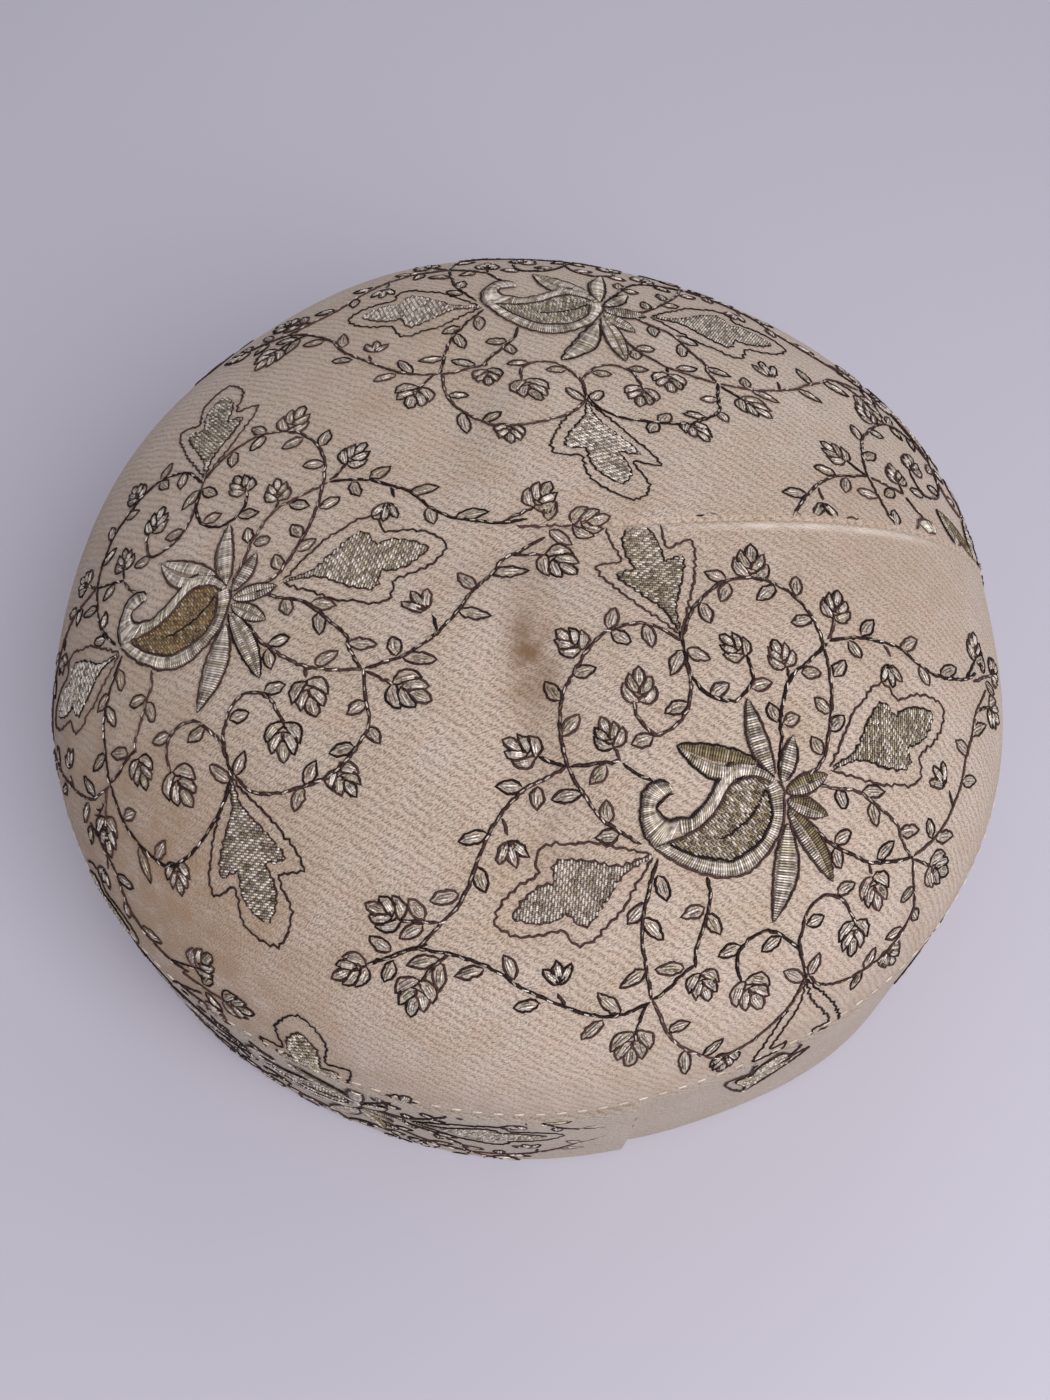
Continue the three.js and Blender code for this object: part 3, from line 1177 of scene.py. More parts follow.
class Half(Enum):
    """A half of a petal, seen from its base."""

    NONE = 0
    LEFT = 1
    RIGHT = 2


@dataclass(frozen=True)
class Petal:
    """A long pointed petal, stitched across. Where it has a dark half, that is the left or the right one."""

    name: str
    base: Point
    tip: Point
    width: float
    bow: float
    dark: Half = Half.NONE


@dataclass(frozen=True)
class SatinColumn:
    """Raised stitches between two edges."""

    name: str
    near: tuple[Point, ...]
    far: tuple[Point, ...]


@dataclass(frozen=True)
class LeafPattern:
    """A lobed leaf on its own axis: half outlines, length along and half width, from the base to the tip."""

    outer: tuple[Point, ...]
    inner: tuple[Point, ...]


@dataclass(frozen=True)
class BigLeaf:
    """A lobed leaf of the spray."""

    name: str
    pattern: LeafPattern
    base: Point
    heading: float
    size: float
    silver: float
    slant: float


SIDE_LEAF = LeafPattern(
    outer=(
        (0, 0.2), (2.8, 2.3), (6.2, 4.8), (8, 6.2), (10.6, 6.9), (12.8, 8.2), (15.2, 8.1), (16.2, 6.8),
        (16.4, 4.8), (17.8, 4.4), (20, 4.2), (22.8, 3.2), (24.8, 1.6), (25.6, 0),
    ),
    inner=(
        (0.5, 0.1), (4.5, 0.5), (6.4, 1.3), (7.8, 2.5), (9.6, 3.8), (11.5, 4.9), (13.2, 5.6), (14.4, 4.7),
        (14.6, 3.2), (15.2, 2.4), (16.6, 2.9), (18.6, 2.7), (20.4, 1.9), (22, 0.8), (22.8, 0),
    ),
)
END_LEAF = LeafPattern(
    outer=(
        (0, 0.2), (2, 1.4), (5, 3.5), (8, 5.4), (11, 7.0), (13.5, 8.3), (15.5, 8.9), (17.2, 9.0),
        (17.1, 6.8), (16.5, 4.3), (18.5, 4.2), (20.5, 4.8), (23, 4.8), (25.5, 3.3), (27.2, 1.3), (27.8, 0),
    ),
    inner=(
        (0.5, 0.1), (4.5, 0.8), (7, 2.2), (10, 4.2), (12.6, 5.7), (14.6, 6.2), (14.6, 4.4), (14.2, 2.6),
        (16, 2.9), (17.8, 3.2), (20.5, 2.8), (22.5, 1.4), (23.6, 0),
    ),
)

BIG_LEAVES = (
    BigLeaf("right_leaf", SIDE_LEAF, (9, -1), 0, 1.06, 0.3, 62),
    BigLeaf("left_leaf", SIDE_LEAF, (-23, -1.2), 180, 1.0, 0.9, 62),
    BigLeaf("top_leaf", END_LEAF, (-3.1, 28), 81, 0.94, 0.2, 70),
    BigLeaf("bottom_leaf", END_LEAF, (-5.8, -31.5), 266, 1.0, 0.4, 70),
)

PETALS = (
    Petal("upper_left", (-2.2, 4.6), (-12.4, 12.2), 5.4, 1.2, Half.RIGHT),
    Petal("top", (-0.5, 1.9), (1.2, 14.2), 3.4, 0.6),
    Petal("upper_right", (0.3, 0.4), (5.4, 6.2), 2.8, -0.3),
    Petal("right", (0.3, -1.2), (8, -1.5), 3.1, 0.0, Half.LEFT),
    Petal("lower_right", (-0.1, -2.3), (5.3, -7.2), 3.0, 0.0, Half.LEFT),
    Petal("bottom", (-0.5, -3.5), (2.6, -17.1), 3.5, 0.4, Half.LEFT),
    Petal("lower_left", (-1.5, -5.6), (-9, -18.7), 4.2, 0.8),
)

# The paisley: its outline, its raised rim and the vein of its filled inside
PAISLEY_TOP = (
    (-0.5, 1.5), (-1.1, 3.1), (-3, 5.2), (-5.3, 6.4), (-7.6, 5.8), (-11.1, 3.5), (-14.9, 1.7),
    (-16.8, 2.2),
)
PAISLEY_HOOK = ((-16.8, 2.2), (-18.6, 2.7), (-19.5, 4.6), (-18.6, 5.6), (-16.3, 6))
PAISLEY_TAIL = (
    (-22.4, -0.4), (-22.9, 1.9), (-22.6, 4.2), (-20.7, 7.7), (-19, 8.7), (-17.6, 8.7), (-16.5, 8.1),
    (-16, 6.9),
)
PAISLEY_BELLY = (
    (-22.4, -0.4), (-19.7, -4.2), (-15.7, -7.9), (-13, -9.3), (-10.3, -9.8), (-7.6, -9.1), (-2.8, -6),
    (-0.1, -1.2), (-0.1, 1),
)
HEART_TOP = (
    (-1.1, 1), (-3.2, 2.9), (-4.9, 3.5), (-6.8, 3.5), (-8.4, 2.9), (-11.8, 0.5), (-15.7, -0.6),
    (-20.1, -0.4),
)
HEART_BELLY = (
    (-20.1, -0.6), (-16.8, -4), (-13, -6.5), (-11.1, -6.9), (-6.7, -6.2), (-3.6, -3.7), (-2.8, -1.5),
    (-2.4, 0.8),
)
HEART_HEADING = 112.0  # degrees that the rows of the inside run at
HEART_VEIN = ((-12.6, -3.1), (-10.7, -3.3), (-6.5, -2.1), (-3.4, 0), (-2.6, 0.8))
PAISLEY_RIM = (
    SatinColumn("upper_rim", PAISLEY_TOP, (*HEART_TOP[:-1], (-17.6, -0.4))),
    SatinColumn("tail", (*PAISLEY_HOOK, (-16, 6.6)), ((-20.1, -0.5), *PAISLEY_TAIL)),
    SatinColumn("lower_rim", PAISLEY_BELLY, HEART_BELLY),
)

VINES: dict[str, tuple[Point, ...]] = {
    "top_right_arc": (
        (-3.1, 27.4), (0.4, 30.7), (5, 32.8), (9, 33.3), (14.3, 31.5), (17.8, 27), (18.9, 22), (17.8, 16),
        (15.2, 9.6), (11.3, 3.9), (7.5, 0.2), (3, 0.2),
    ),
    "upper_right_to_heart": ((19, 17.1), (13.6, 15.6), (9.4, 14.2), (5.5, 10.2), (3.4, 6.5), (0.5, 2)),
    "upper_right_bud": ((19.4, 17.7), (21.3, 18.9), (22.9, 20.8)),
    "upper_right_runner": (
        (19.4, 17.3), (24.8, 16), (29.2, 13.5), (32.3, 11.2), (35.2, 6.7), (39, 3.7), (45.5, 1.2), (50, 1),
    ),
    "heart_to_lower_right": (
        (4, -0.5), (7.5, -3.5), (11.7, -5.8), (14.6, -9.6), (17.5, -14.2), (17.5, -16.5), (18.8, -20.8),
    ),
    "low_heart_to_lower_right": (
        (1.6, -6.5), (4.7, -11.9), (8.9, -16.4), (10.5, -17.7), (14.8, -19.6), (18.8, -20.8),
    ),
    "lower_right_bud": ((19.4, -21.4), (21.3, -23.1), (23.2, -24.8)),
    "lower_right_runner": (
        (19.4, -20.8), (25.5, -20.2), (30.5, -18.1), (35.2, -14.6), (38.2, -11.2), (42.5, -7.9),
        (44.8, -5.6), (52, -3),
    ),
    "low_curl_right": (
        (-5.7, -27.4), (-5.6, -24.5), (-4.4, -22.1), (-2.7, -19.8), (-0.3, -18.8), (2.1, -19.5),
        (3.8, -21.5), (5, -26.2),
    ),
    "low_curl_left": (
        (-5.9, -28), (-6.1, -25.1), (-9.1, -20.5), (-11.5, -19.6), (-13.8, -19.9), (-15.6, -21.2),
        (-16.6, -23.3), (-16.5, -26.2),
    ),
    "low_tie": ((-5.7, -27), (-5.6, -32)),
    "low_right_arc": (
        (-5, -31.3), (-3.1, -34.4), (1.3, -36.3), (7.5, -36.5), (11.9, -35.6), (17.8, -30.6), (18.5, -25),
        (19.1, -20.6),
    ),
    "low_left_arc": (
        (-6, -31.5), (-8.5, -35), (-12.5, -38), (-17.5, -40.3), (-22.5, -40.5), (-25.5, -38),
        (-29.7, -30.9), (-30.8, -22.5),
    ),
    "leaf_to_lower_left": ((-22.5, -2), (-26.7, -7.4), (-29.1, -12), (-30.2, -17.6), (-30.9, -22.4)),
    "lower_left_runner": (
        (-31.3, -22.8), (-36.5, -22.8), (-40.4, -20.7), (-44.8, -16.5), (-49.1, -11.5), (-51.3, -7.8),
        (-56.1, -3.3), (-60.9, -0.2),
    ),
    "paisley_to_lower_left": ((-16.5, -7.7), (-17, -10.4), (-19.7, -14.6), (-22.5, -18.5), (-22.8, -20.4)),
    "lower_left_branch": ((-22.6, -19.8), (-25.6, -20.6), (-28.5, -22.1), (-30.8, -22.4)),
    "lower_left_bud": ((-32, -23), (-33.8, -25.6), (-35.3, -28.6)),
    "top_left_arc": (
        (-3.7, 27), (-6.2, 31), (-9.2, 32.8), (-13.1, 33.5), (-17.3, 32.2), (-21.2, 29.7), (-24.6, 27),
        (-27.3, 22.4), (-28.7, 17), (-28.4, 11.2), (-27.8, 7.6), (-26.5, 5), (-23.9, 0.9),
    ),
    "upper_left_bud": ((-29, 17), (-30.8, 18.5), (-32.1, 20.1)),
    "upper_left_runner": (
        (-28.9, 16.8), (-33.1, 16.4), (-36.2, 16.2), (-41.7, 13.7), (-47, 9.1), (-50.4, 5.4), (-53.9, 3),
        (-60.9, -0.1),
    ),
    "upper_left_branch": ((-28.5, 16.6), (-24.6, 15.1), (-21.3, 13.7)),
    "upper_left_branch_bud": ((-21.3, 13.9), (-21.3, 16.2)),
    "hook_vine": ((-21.2, 13.2), (-19.6, 10.5), (-18.2, 8.9)),
    "top_tie": ((-3.9, 25.5), (-3, 28.5)),
    "top_curl_right": ((-3.9, 25.5), (-5, 21.2), (-4, 17), (-1.2, 15), (0.8, 15), (3.9, 17), (4.9, 20.7)),
    "top_curl_left": (
        (-4.4, 24.3), (-6.2, 19.3), (-9.2, 15.9), (-13.1, 14.9), (-15, 15.5), (-15.8, 19.3), (-15.2, 21.2),
    ),
    "left_end_stem": ((-59.1, 0), (-69.6, 0.1)),
    "left_end_up": ((-56.3, 2.4), (-61.7, 5)),
    "left_end_down": ((-56.3, -2.8), (-60.4, -4.1), (-62.6, -5.7)),
    "right_end_stem": ((48, 0), (57, -1.5)),
    "right_end_up": ((45.5, 1.2), (51.5, 3)),
    "right_end_down": ((46, -5), (51.5, -6)),
    "upper_bud_stem": ((9.4, 14.6), (10.2, 16.2)),
    "lower_bud_stem": ((10, -17.7), (10, -19.6)),
    "upper_right_flower": ((29.2, 13.1), (29.4, 10.8)),
    "lower_right_flower": ((31.5, -17.3), (31.5, -14.2)),
    "lower_left_flower": ((-43.5, -17.6), (-43.9, -15)),
    "upper_left_flower": ((-41.1, 13.5), (-41.5, 10.7)),
}

BUDS = (
    Sprig((10, 16.3), 85, 5),
    Sprig((22.5, 20.3), 45, 5.7),
    Sprig((13, 32.3), 55, 6.4),
    Sprig((-18.5, 32.5), 110, 5.3),
    Sprig((4.5, 20.6), 110, 5.1),
    Sprig((-14.5, 20.8), 62, 5.7),
    Sprig((-21.3, 16.2), 85, 5.1),
    Sprig((-32.5, 20), 125, 5.7),
    Sprig((10, -20), 270, 6.4),
    Sprig((23, -24.5), 320, 6.8),
    Sprig((5, -25.8), 255, 6.4),
    Sprig((-16, -26.5), 285, 7),
    Sprig((-22.5, -21.5), 270, 5.6),
    Sprig((-35, -27), 250, 7.2),
    Sprig((-61.5, 5), 130, 6.1),
    Sprig((-62.8, -5.3), 235, 6.8),
    Sprig((-69.8, 0), 180, 6.2),
    Sprig((11.5, -35.5), 290, 5.5),
    Sprig((-21, -40.5), 255, 5.5),
    Sprig((57, -1.5), 0, 6.2),
    Sprig((51.5, 3), 50, 6.1),
    Sprig((51.5, -6), 310, 6.6),
)
FLOWERS = (
    Sprig((28.2, 9.8), 250, 4),
    Sprig((30.5, -13), 110, 4.5),
    Sprig((-43, -13.9), 80, 4),
    Sprig((-41.7, 10), 262, 4.3),
)

PETAL_STEPS = 4  # the fewest along a petal's edge
PETAL_FULLNESS = 1.15  # an edge's length against the petal's own
PETAL_BELLY = 0.9  # below 1, a petal is widest nearer to its base

# Petals of a bud and of a flower, as shares of its length: base and tip, along and across, width and bow
BUD_PETALS = (
    ((0.00, -0.02), (0.52, 0.44), 0.29, 0.13),
    ((0.00, 0.02), (0.47, -0.46), 0.29, -0.13),
    ((0.23, -0.02), (0.80, 0.29), 0.27, 0.10),
    ((0.23, 0.02), (0.75, -0.31), 0.27, -0.10),
    ((0.44, -0.01), (1.0, 0.02), 0.32, 0.0),
)
FLOWER_PETALS = (
    ((0.0, 0.0), (0.75, 0.55), 0.36, 0.0),
    ((0.0, 0.0), (1.0, 0.0), 0.38, 0.0),
    ((0.0, 0.0), (0.75, -0.55), 0.36, 0.0),
)

# Small leaves on the stems: each from its base to its tip
SMALL_LEAF_WIDTH = 2.1
SMALL_LEAVES: tuple[tuple[Point, Point], ...] = (
    ((32.1, 11.2), (37, 11.5)), ((25.9, 16), (29.8, 17.5)), ((23, 16), (23.6, 12.5)),
    ((16.9, 11.9), (20.5, 13.3)), ((11.9, 14.6), (15.2, 13.1)), ((13.2, 6.9), (11.9, 10)),
    ((11.9, 4.4), (15.5, 5.6)), ((8.8, 1.5), (8.4, 4.8)), ((18.8, 21.7), (15, 22.5)),
    ((18.6, 26.2), (20.5, 29.4)), ((15.9, 29.2), (11.7, 28.3)), ((34.6, 7.3), (34.8, 3.5)),
    ((38.8, 4.2), (44, 3.9)), ((4.9, 8.5), (8, 8.5)), ((4.1, 9), (4.3, 12.3)),
    ((17.5, -15.6), (21.9, -17.1)), ((24.6, -20), (24.6, -16.3)), ((25.5, -20.4), (30.5, -22.3)),
    ((35.5, -14.4), (40.3, -16.2)), ((39.4, -10.8), (36.7, -7.1)), ((42, -7.9), (48.2, -8.5)),
    ((12.9, -6.5), (17, -8.3)), ((14, -8.5), (13.4, -12.7)), ((8.8, -4.2), (9, -7.7)),
    ((11.7, -17.7), (15.9, -16.5)), ((5, -11.7), (8.5, -11.5)), ((4.7, -12.5), (4.7, -16)),
    ((18.4, -26.2), (15, -27.4)), ((-15.1, -20.2), (-18.9, -20.2)), ((-8.4, -21.8), (-12, -22.7)),
    ((-3.8, -22), (-0.3, -22.1)), ((2.8, -19.5), (6.5, -19.4)), ((-6.1, -31.8), (-9.1, -28)),
    ((-5, -31.2), (-2.4, -28)), ((6, -36.5), (8.6, -33.3)), ((5.5, -36.5), (3.2, -39.8)),
    ((15, -32.8), (11, -32.8)), ((17.8, -30.4), (19, -33.5)), ((-29.8, -29.2), (-26.2, -29.5)),
    ((-28.2, -35), (-28.6, -41.5)), ((-25.3, -38.6), (-21.5, -36.2)), ((-47, -15.7), (-50.9, -15)),
    ((-49.1, -10.4), (-49, -6)), ((-52.8, -7), (-57.3, -6.7)), ((-38.9, -22.6), (-43, -24.6)),
    ((-36.1, -22.6), (-38.3, -17.8)), ((-30.2, -17.2), (-34.8, -18.3)), ((-24.6, -19.6), (-28.9, -17.8)),
    ((-26.7, -7.4), (-30.4, -9.1)), ((-27.8, -9.3), (-26.3, -13.7)), ((-18.6, -11.9), (-22.4, -11.7)),
    ((-18.4, -12.9), (-17.6, -16.9)), ((-23.4, -4.2), (-23.5, -8.4)), ((-12.9, 33.7), (-10.2, 36.6)),
    ((-12.9, 33.2), (-11, 30)), ((-7.3, 32), (-8.3, 27.9)), ((-25.2, 26.4), (-25.8, 30.4)),
    ((-21.5, 29.5), (-17.9, 28.7)), ((-27.5, 21.4), (-23.5, 23.2)), ((-34.2, 15.9), (-35.8, 12.6)),
    ((-36.2, 16.6), (-40, 18.3)), ((-44.1, 12), (-48.6, 12.8)), ((-47.6, 8.3), (-48, 4)),
    ((-51.7, 5.2), (-56.2, 6.1)), ((-23.5, 14.1), (-26.9, 12.6)), ((-28.6, 12), (-33.1, 13.2)),
    ((-27.2, 6.1), (-25.9, 9.4)), ((-26.3, 3.7), (-29.6, 4.8)), ((-4.2, 25.5), (-7.9, 22.6)),
    ((-3.7, 25.3), (-1, 22.4)), ((-7.7, 17.4), (-11.7, 17.6)), ((-15, 14.9), (-18.6, 15.3)),
    ((-3.9, 17.2), (-0.1, 17.7)), ((2.7, 15.7), (6.5, 15.1)), ((2.8, 31.5), (2.3, 27.7)),
    ((9, 33.5), (6.5, 36.3)), ((9, 32.8), (5.9, 30.3)), ((-65, 0.9), (-67.2, 4.4)),
    ((-65.2, -0.7), (-68.2, -3.7)), ((-58, 3.7), (-58.9, 7.5)), ((-58.5, 3), (-62.8, 2.4)),
    ((-58.5, -3), (-63.5, -2.2)), ((-58.5, -3.5), (-60.7, -8.3)), ((53, 0), (55, 3.5)),
    ((53, -1.8), (56, -5.2)),
)


@dataclass(frozen=True)
class Tones:
    """Threads of one spray: its paisley's inside, its petals' dark halves and the silver its leaves gain."""

    heart: Mix
    dark_half: Mix
    leaf_silver: float = 0.0


OLIVE_TONES = Tones(
    heart=((Thread.SILVER, 0.3), (Thread.PEWTER, 0.4), (Thread.OLIVE, 0.3)),
    dark_half=((Thread.OLIVE, 0.9), (Thread.PEWTER, 0.1)),
)
GOLD_TONES = Tones(
    heart=((Thread.GOLD, 0.75), (Thread.OLIVE, 0.15), (Thread.PEWTER, 0.1)),
    dark_half=((Thread.SILVER, 0.7), (Thread.PEWTER, 0.3)),
    leaf_silver=0.2,
)
SILVER_TONES = Tones(
    heart=((Thread.SILVER, 0.4), (Thread.PEWTER, 0.6)),
    dark_half=((Thread.SILVER, 0.5), (Thread.PEWTER, 0.5)),
    leaf_silver=0.45,
)
BRIGHT = ((Thread.SILVER, 0.75), (Thread.PEWTER, 0.25))
MOST_SILVER = 0.95  # the largest share of silver in a lobed leaf


@dataclass
class SprayDesign:
    """The spray drawn flat: a paisley with petals and four lobed leaves, in a ring of budding vines."""

    seed: int
    tones: Tones = OLIVE_TONES
    gauge: ThreadGauge = ThreadGauge()

    def draw(self, only_leaf: str | None = None, plain_leaf: str | None = None) -> Stitchwork:
        """Stitches the spray.

        Args:
            only_leaf: A lobed leaf to stitch alone, without the rest.
            plain_leaf: A lobed leaf to leave unfilled.

        Returns:
            Its threads.
        """
        work = Stitchwork(self.seed)
        for leaf in BIG_LEAVES:
            if only_leaf in (None, leaf.name):
                self.big_leaf(work, leaf, filled=leaf.name != plain_leaf)
        if only_leaf is not None:
            return work
        for line in VINES.values():
            self.vine(work, line)
        for base, tip in SMALL_LEAVES:
            self.petal_outline(work, base, tip, SMALL_LEAF_WIDTH, bow=0.0, strands=2, point=0.75)
        for sprigs, petals in ((BUDS, BUD_PETALS), (FLOWERS, FLOWER_PETALS)):
            for sprig in sprigs:
                self.bud(work, sprig, petals)
        self.paisley(work)
        for petal in PETALS:
            self.petal(work, petal)
        return work

    def outline(self, work: Stitchwork, places: Array, lift: float = 0.0) -> None:
        """Adds a dark outline thread that wavers a little."""
        gauge = self.gauge
        waver = work.chance.normal(0.0, gauge.outline_waver, places.shape)
        work.add_line(places + waver, Thread.UMBER, gauge.outline_radius, gauge.lift + lift)

    def vine(self, work: Stitchwork, points: Sequence[Point]) -> None:
        """Adds a stem: a dark thread with a silver one that shows here and there."""
        gauge = self.gauge
        places = smooth_line(points, gauge.step)
        places = places + work.chance.normal(0.0, gauge.vine_waver, places.shape)
        work.add_line(places, Thread.UMBER, gauge.vine_radius, gauge.lift)
        span = round(gauge.glint_length / gauge.step)
        first = np.cumsum(work.chance.integers(*gauge.glint_steps, len(places)))
        first = first[first < len(places) - span]
        aside = work.chance.normal(0.0, gauge.glint_waver, len(first))[:, None] * across_of(places)[first]
        starts, ends = places[first] + aside, places[first + span] - aside
        work.add_block(starts, ends, gauge.glint_lift, gauge.glint_radius, BRIGHT)

    def edges(
        self, base: Point, tip: Point, width: float, bow: float = 0.0, point: float = 0.8
    ) -> tuple[Array, Array]:
        """The two edges of a petal, left and right, each from its base to its tip.

        Args:
            base: Where it grows.
            tip: Its tip.
            width: Its greatest width.
            bow: How far its middle bends to the left.
            point: How pointed its ends are: 1 is sharp, and small values are blunt.

        Returns:
            The left and the right edge.
        """
        axis = np.array(tip, dtype=float) - np.array(base, dtype=float)
        length = float(np.linalg.norm(axis))
        steps = max(PETAL_STEPS, round(PETAL_FULLNESS * length / self.gauge.step))
        t = np.linspace(0.0, 1.0, steps + 1)
        left = np.array([-axis[1], axis[0]]) / length
        middle = np.array(base) + t[:, None] * axis + (bow * np.sin(np.pi * t))[:, None] * left
        half = (width / 2 * np.sin(np.pi * t**PETAL_BELLY) ** point)[:, None] * left
        return middle + half, middle - half

    def petal_outline(
        self, work: Stitchwork, base: Point, tip: Point, width: float, bow: float, strands: int, point: float
    ) -> None:
        """Adds a small petal or leaf: a dark outline with a few long silver stitches in it.

        Args:
            work: Where the threads go.
            base: Where it grows.
            tip: Its tip.
            width: Its greatest width.
            bow: How far its middle bends to the left.
            strands: How many long stitches it has.
            point: How pointed its ends are.
        """
        gauge = self.gauge
        left, right = self.edges(base, tip, width, bow, point)
        self.outline(work, np.concatenate([left, right[-2::-1]]))
        share = (np.arange(strands) + 0.5) / strands
        share = (0.5 + (share - 0.5) * gauge.strand_spread)[:, None]
        ends = []
        for cuts in (gauge.strand_start, gauge.strand_end):
            cut = work.chance.uniform(*cuts, strands)
            place = np.round(cut * (len(left) - 1)).astype(int)
            ends.append(left[place] * share + right[place] * (1 - share))
        work.add_block(*ends, gauge.fill_lift, gauge.strand_radius, BRIGHT, gauge.strand_dullest)

    def bud(self, work: Stitchwork, sprig: Sprig, petals: SmallPetals) -> None:
        """Adds a bud or a flower of small outlined petals."""
        size = sprig.length
        for base, tip, width, bow in petals:
            ends = placed(sprig.base, sprig.heading, np.array([base, tip]) * size)
            start, end = map(tuple, ends)
            self.petal_outline(work, start, end, width * size, bow * size, strands=3, point=0.5)

    def satin(self, work: Stitchwork, near: Array, far: Array, mix: Mix) -> None:
        """Adds raised stitches from one edge to the other."""
        gauge = self.gauge
        length = max(np.linalg.norm(np.diff(edge, axis=0), axis=1).sum() for edge in (near, far))
        count = max(3, round(length / gauge.satin_pitch))
        starts, ends = (even_line(edge, gauge.satin_pitch) for edge in (near, far))
        share = np.linspace(0.0, 1.0, count)
        starts, ends = (
            np.stack([np.interp(share, np.linspace(0, 1, len(edge)), edge[:, k]) for k in (0, 1)], axis=1)
            for edge in (starts, ends)
        )
        work.add_block(starts, ends, gauge.satin_lift, gauge.satin_radius, mix, gauge.satin_dullest)

    def petal(self, work: Stitchwork, petal: Petal) -> None:
        """Adds a long petal: stitches across each half, and a dark outline."""
        left, right = self.edges(petal.base, petal.tip, petal.width, petal.bow)
        middle = (left + right) / 2
        if petal.dark is Half.NONE:
            self.satin(work, left, right, BRIGHT)
        else:
            for edge, half in ((left, Half.LEFT), (right, Half.RIGHT)):
                self.satin(work, edge, middle, self.tones.dark_half if petal.dark is half else BRIGHT)
        self.outline(work, np.concatenate([left, right[-2::-1]]), self.gauge.petal_edge_lift)

    def paisley(self, work: Stitchwork) -> None:
        """Adds the paisley: a flecked inside, a raised rim and dark outlines."""
        step = self.gauge.step
        heart = np.concatenate([smooth_line(HEART_TOP, step), smooth_line(HEART_BELLY, step)])
        self.fill(work, heart, HEART_HEADING, self.tones.heart)
        for column in PAISLEY_RIM:
            near, far = smooth_line(column.near, step), smooth_line(column.far, step)
            self.satin(work, near, far, BRIGHT)
        upper_line = PAISLEY_TOP + PAISLEY_HOOK[1:]
        for line in (upper_line, PAISLEY_TAIL, PAISLEY_BELLY, HEART_TOP, HEART_BELLY, HEART_VEIN):
            self.outline(work, smooth_line(line, step), self.gauge.paisley_edge_lift)

    def big_leaf(self, work: Stitchwork, leaf: BigLeaf, filled: bool) -> None:
        """Adds a lobed leaf: wavy outlines with plain cloth between them, and a filled middle."""
        gauge = self.gauge
        for half in (leaf.pattern.outer, leaf.pattern.inner):
            right_half = tuple((along, -across) for along, across in reversed(half[:-1]))
            local = leaf.size * even_line(np.array((*half, *right_half), dtype=float), gauge.step)
            turns = 2 * math.pi * np.arange(len(local)) * gauge.step / gauge.leaf_wave_length
            wave = gauge.leaf_wave * np.sin(turns)
            ring = placed(leaf.base, leaf.heading, local + wave[:, None] * across_of(local))
            if filled and half is leaf.pattern.inner:
                silver = min(leaf.silver + self.tones.leaf_silver, MOST_SILVER)
                mix = ((Thread.SILVER, silver), (Thread.PEWTER, 1 - silver))
                self.fill(work, ring, leaf.heading + leaf.slant, mix)
            self.outline(work, ring)

    def fill(self, work: Stitchwork, ring: Array, heading: float, mix: Mix) -> None:
        """Fills a closed ring with rows of stitches, each row set off against the last.

        Args:
            work: Where the stitches go.
            ring: The ring's places.
            heading: Degrees that the rows run at.
            mix: Threads that the stitches are drawn from.
        """
        gauge = self.gauge
        length = gauge.fill_length
        along, across = axes(heading)
        x, y = ring @ along, ring @ across
        next_x, next_y = np.roll(x, -1), np.roll(y, -1)
        starts, ends = [], []
        for row, level in enumerate(np.arange(y.min() + gauge.fill_margin, y.max(), gauge.fill_pitch)):
            cut = (y <= level) != (next_y <= level)
            slope = (level - y[cut]) / (next_y[cut] - y[cut])
            crossings = np.sort(x[cut] + slope * (next_x[cut] - x[cut]))
            for low, high in zip(crossings[::2], crossings[1::2]):
                jitter = work.chance.uniform(-gauge.fill_jitter, gauge.fill_jitter)
                shift = length * ((row * gauge.fill_shift) % 1.0) + jitter
                inner = np.arange(math.floor(low / length) * length + shift, high, length)
                roomy = (inner > low + gauge.fill_shortest) & (inner < high - gauge.fill_shortest)
                marks = np.concatenate([[low], inner[roomy], [high]])
                for a, b in zip(marks, marks[1:]):
                    starts.append(a * along + level * across)
                    ends.append(b * along + level * across)
        starts, ends = np.array(starts).reshape(-1, 2), np.array(ends).reshape(-1, 2)
        work.add_block(starts, ends, gauge.fill_lift, gauge.fill_radius, mix, gauge.fill_dullest)
        self.sparkle(work, (starts + ends) / 2, along, mix[:1])

    def sparkle(self, work: Stitchwork, middles: Array, along: Array, bright: Mix) -> None:
        """Adds short bright stitches over some of a fill's own.

        Args:
            work: Where the stitches go.
            middles: The middles of the fill's stitches.
            along: The direction of its rows.
            bright: The thread.
        """
        gauge = self.gauge
        middle = middles[work.chance.random(len(middles)) < gauge.sparkle_share]
        half = gauge.sparkle_length / 2 * along
        lift, radius, dullest = gauge.sparkle_lift, gauge.sparkle_radius, gauge.sparkle_dullest
        work.add_block(middle - half, middle + half, lift, radius, bright, dullest)


@dataclass(frozen=True)
class ThreadMesh:
    """Threads as a mesh: its places, its faces, each face's thread, each place's tint and length along."""

    places: Array
    faces: list[tuple[int, ...]]
    threads: Array
    tint: Array
    along: Array


RING = 4  # places round a thread


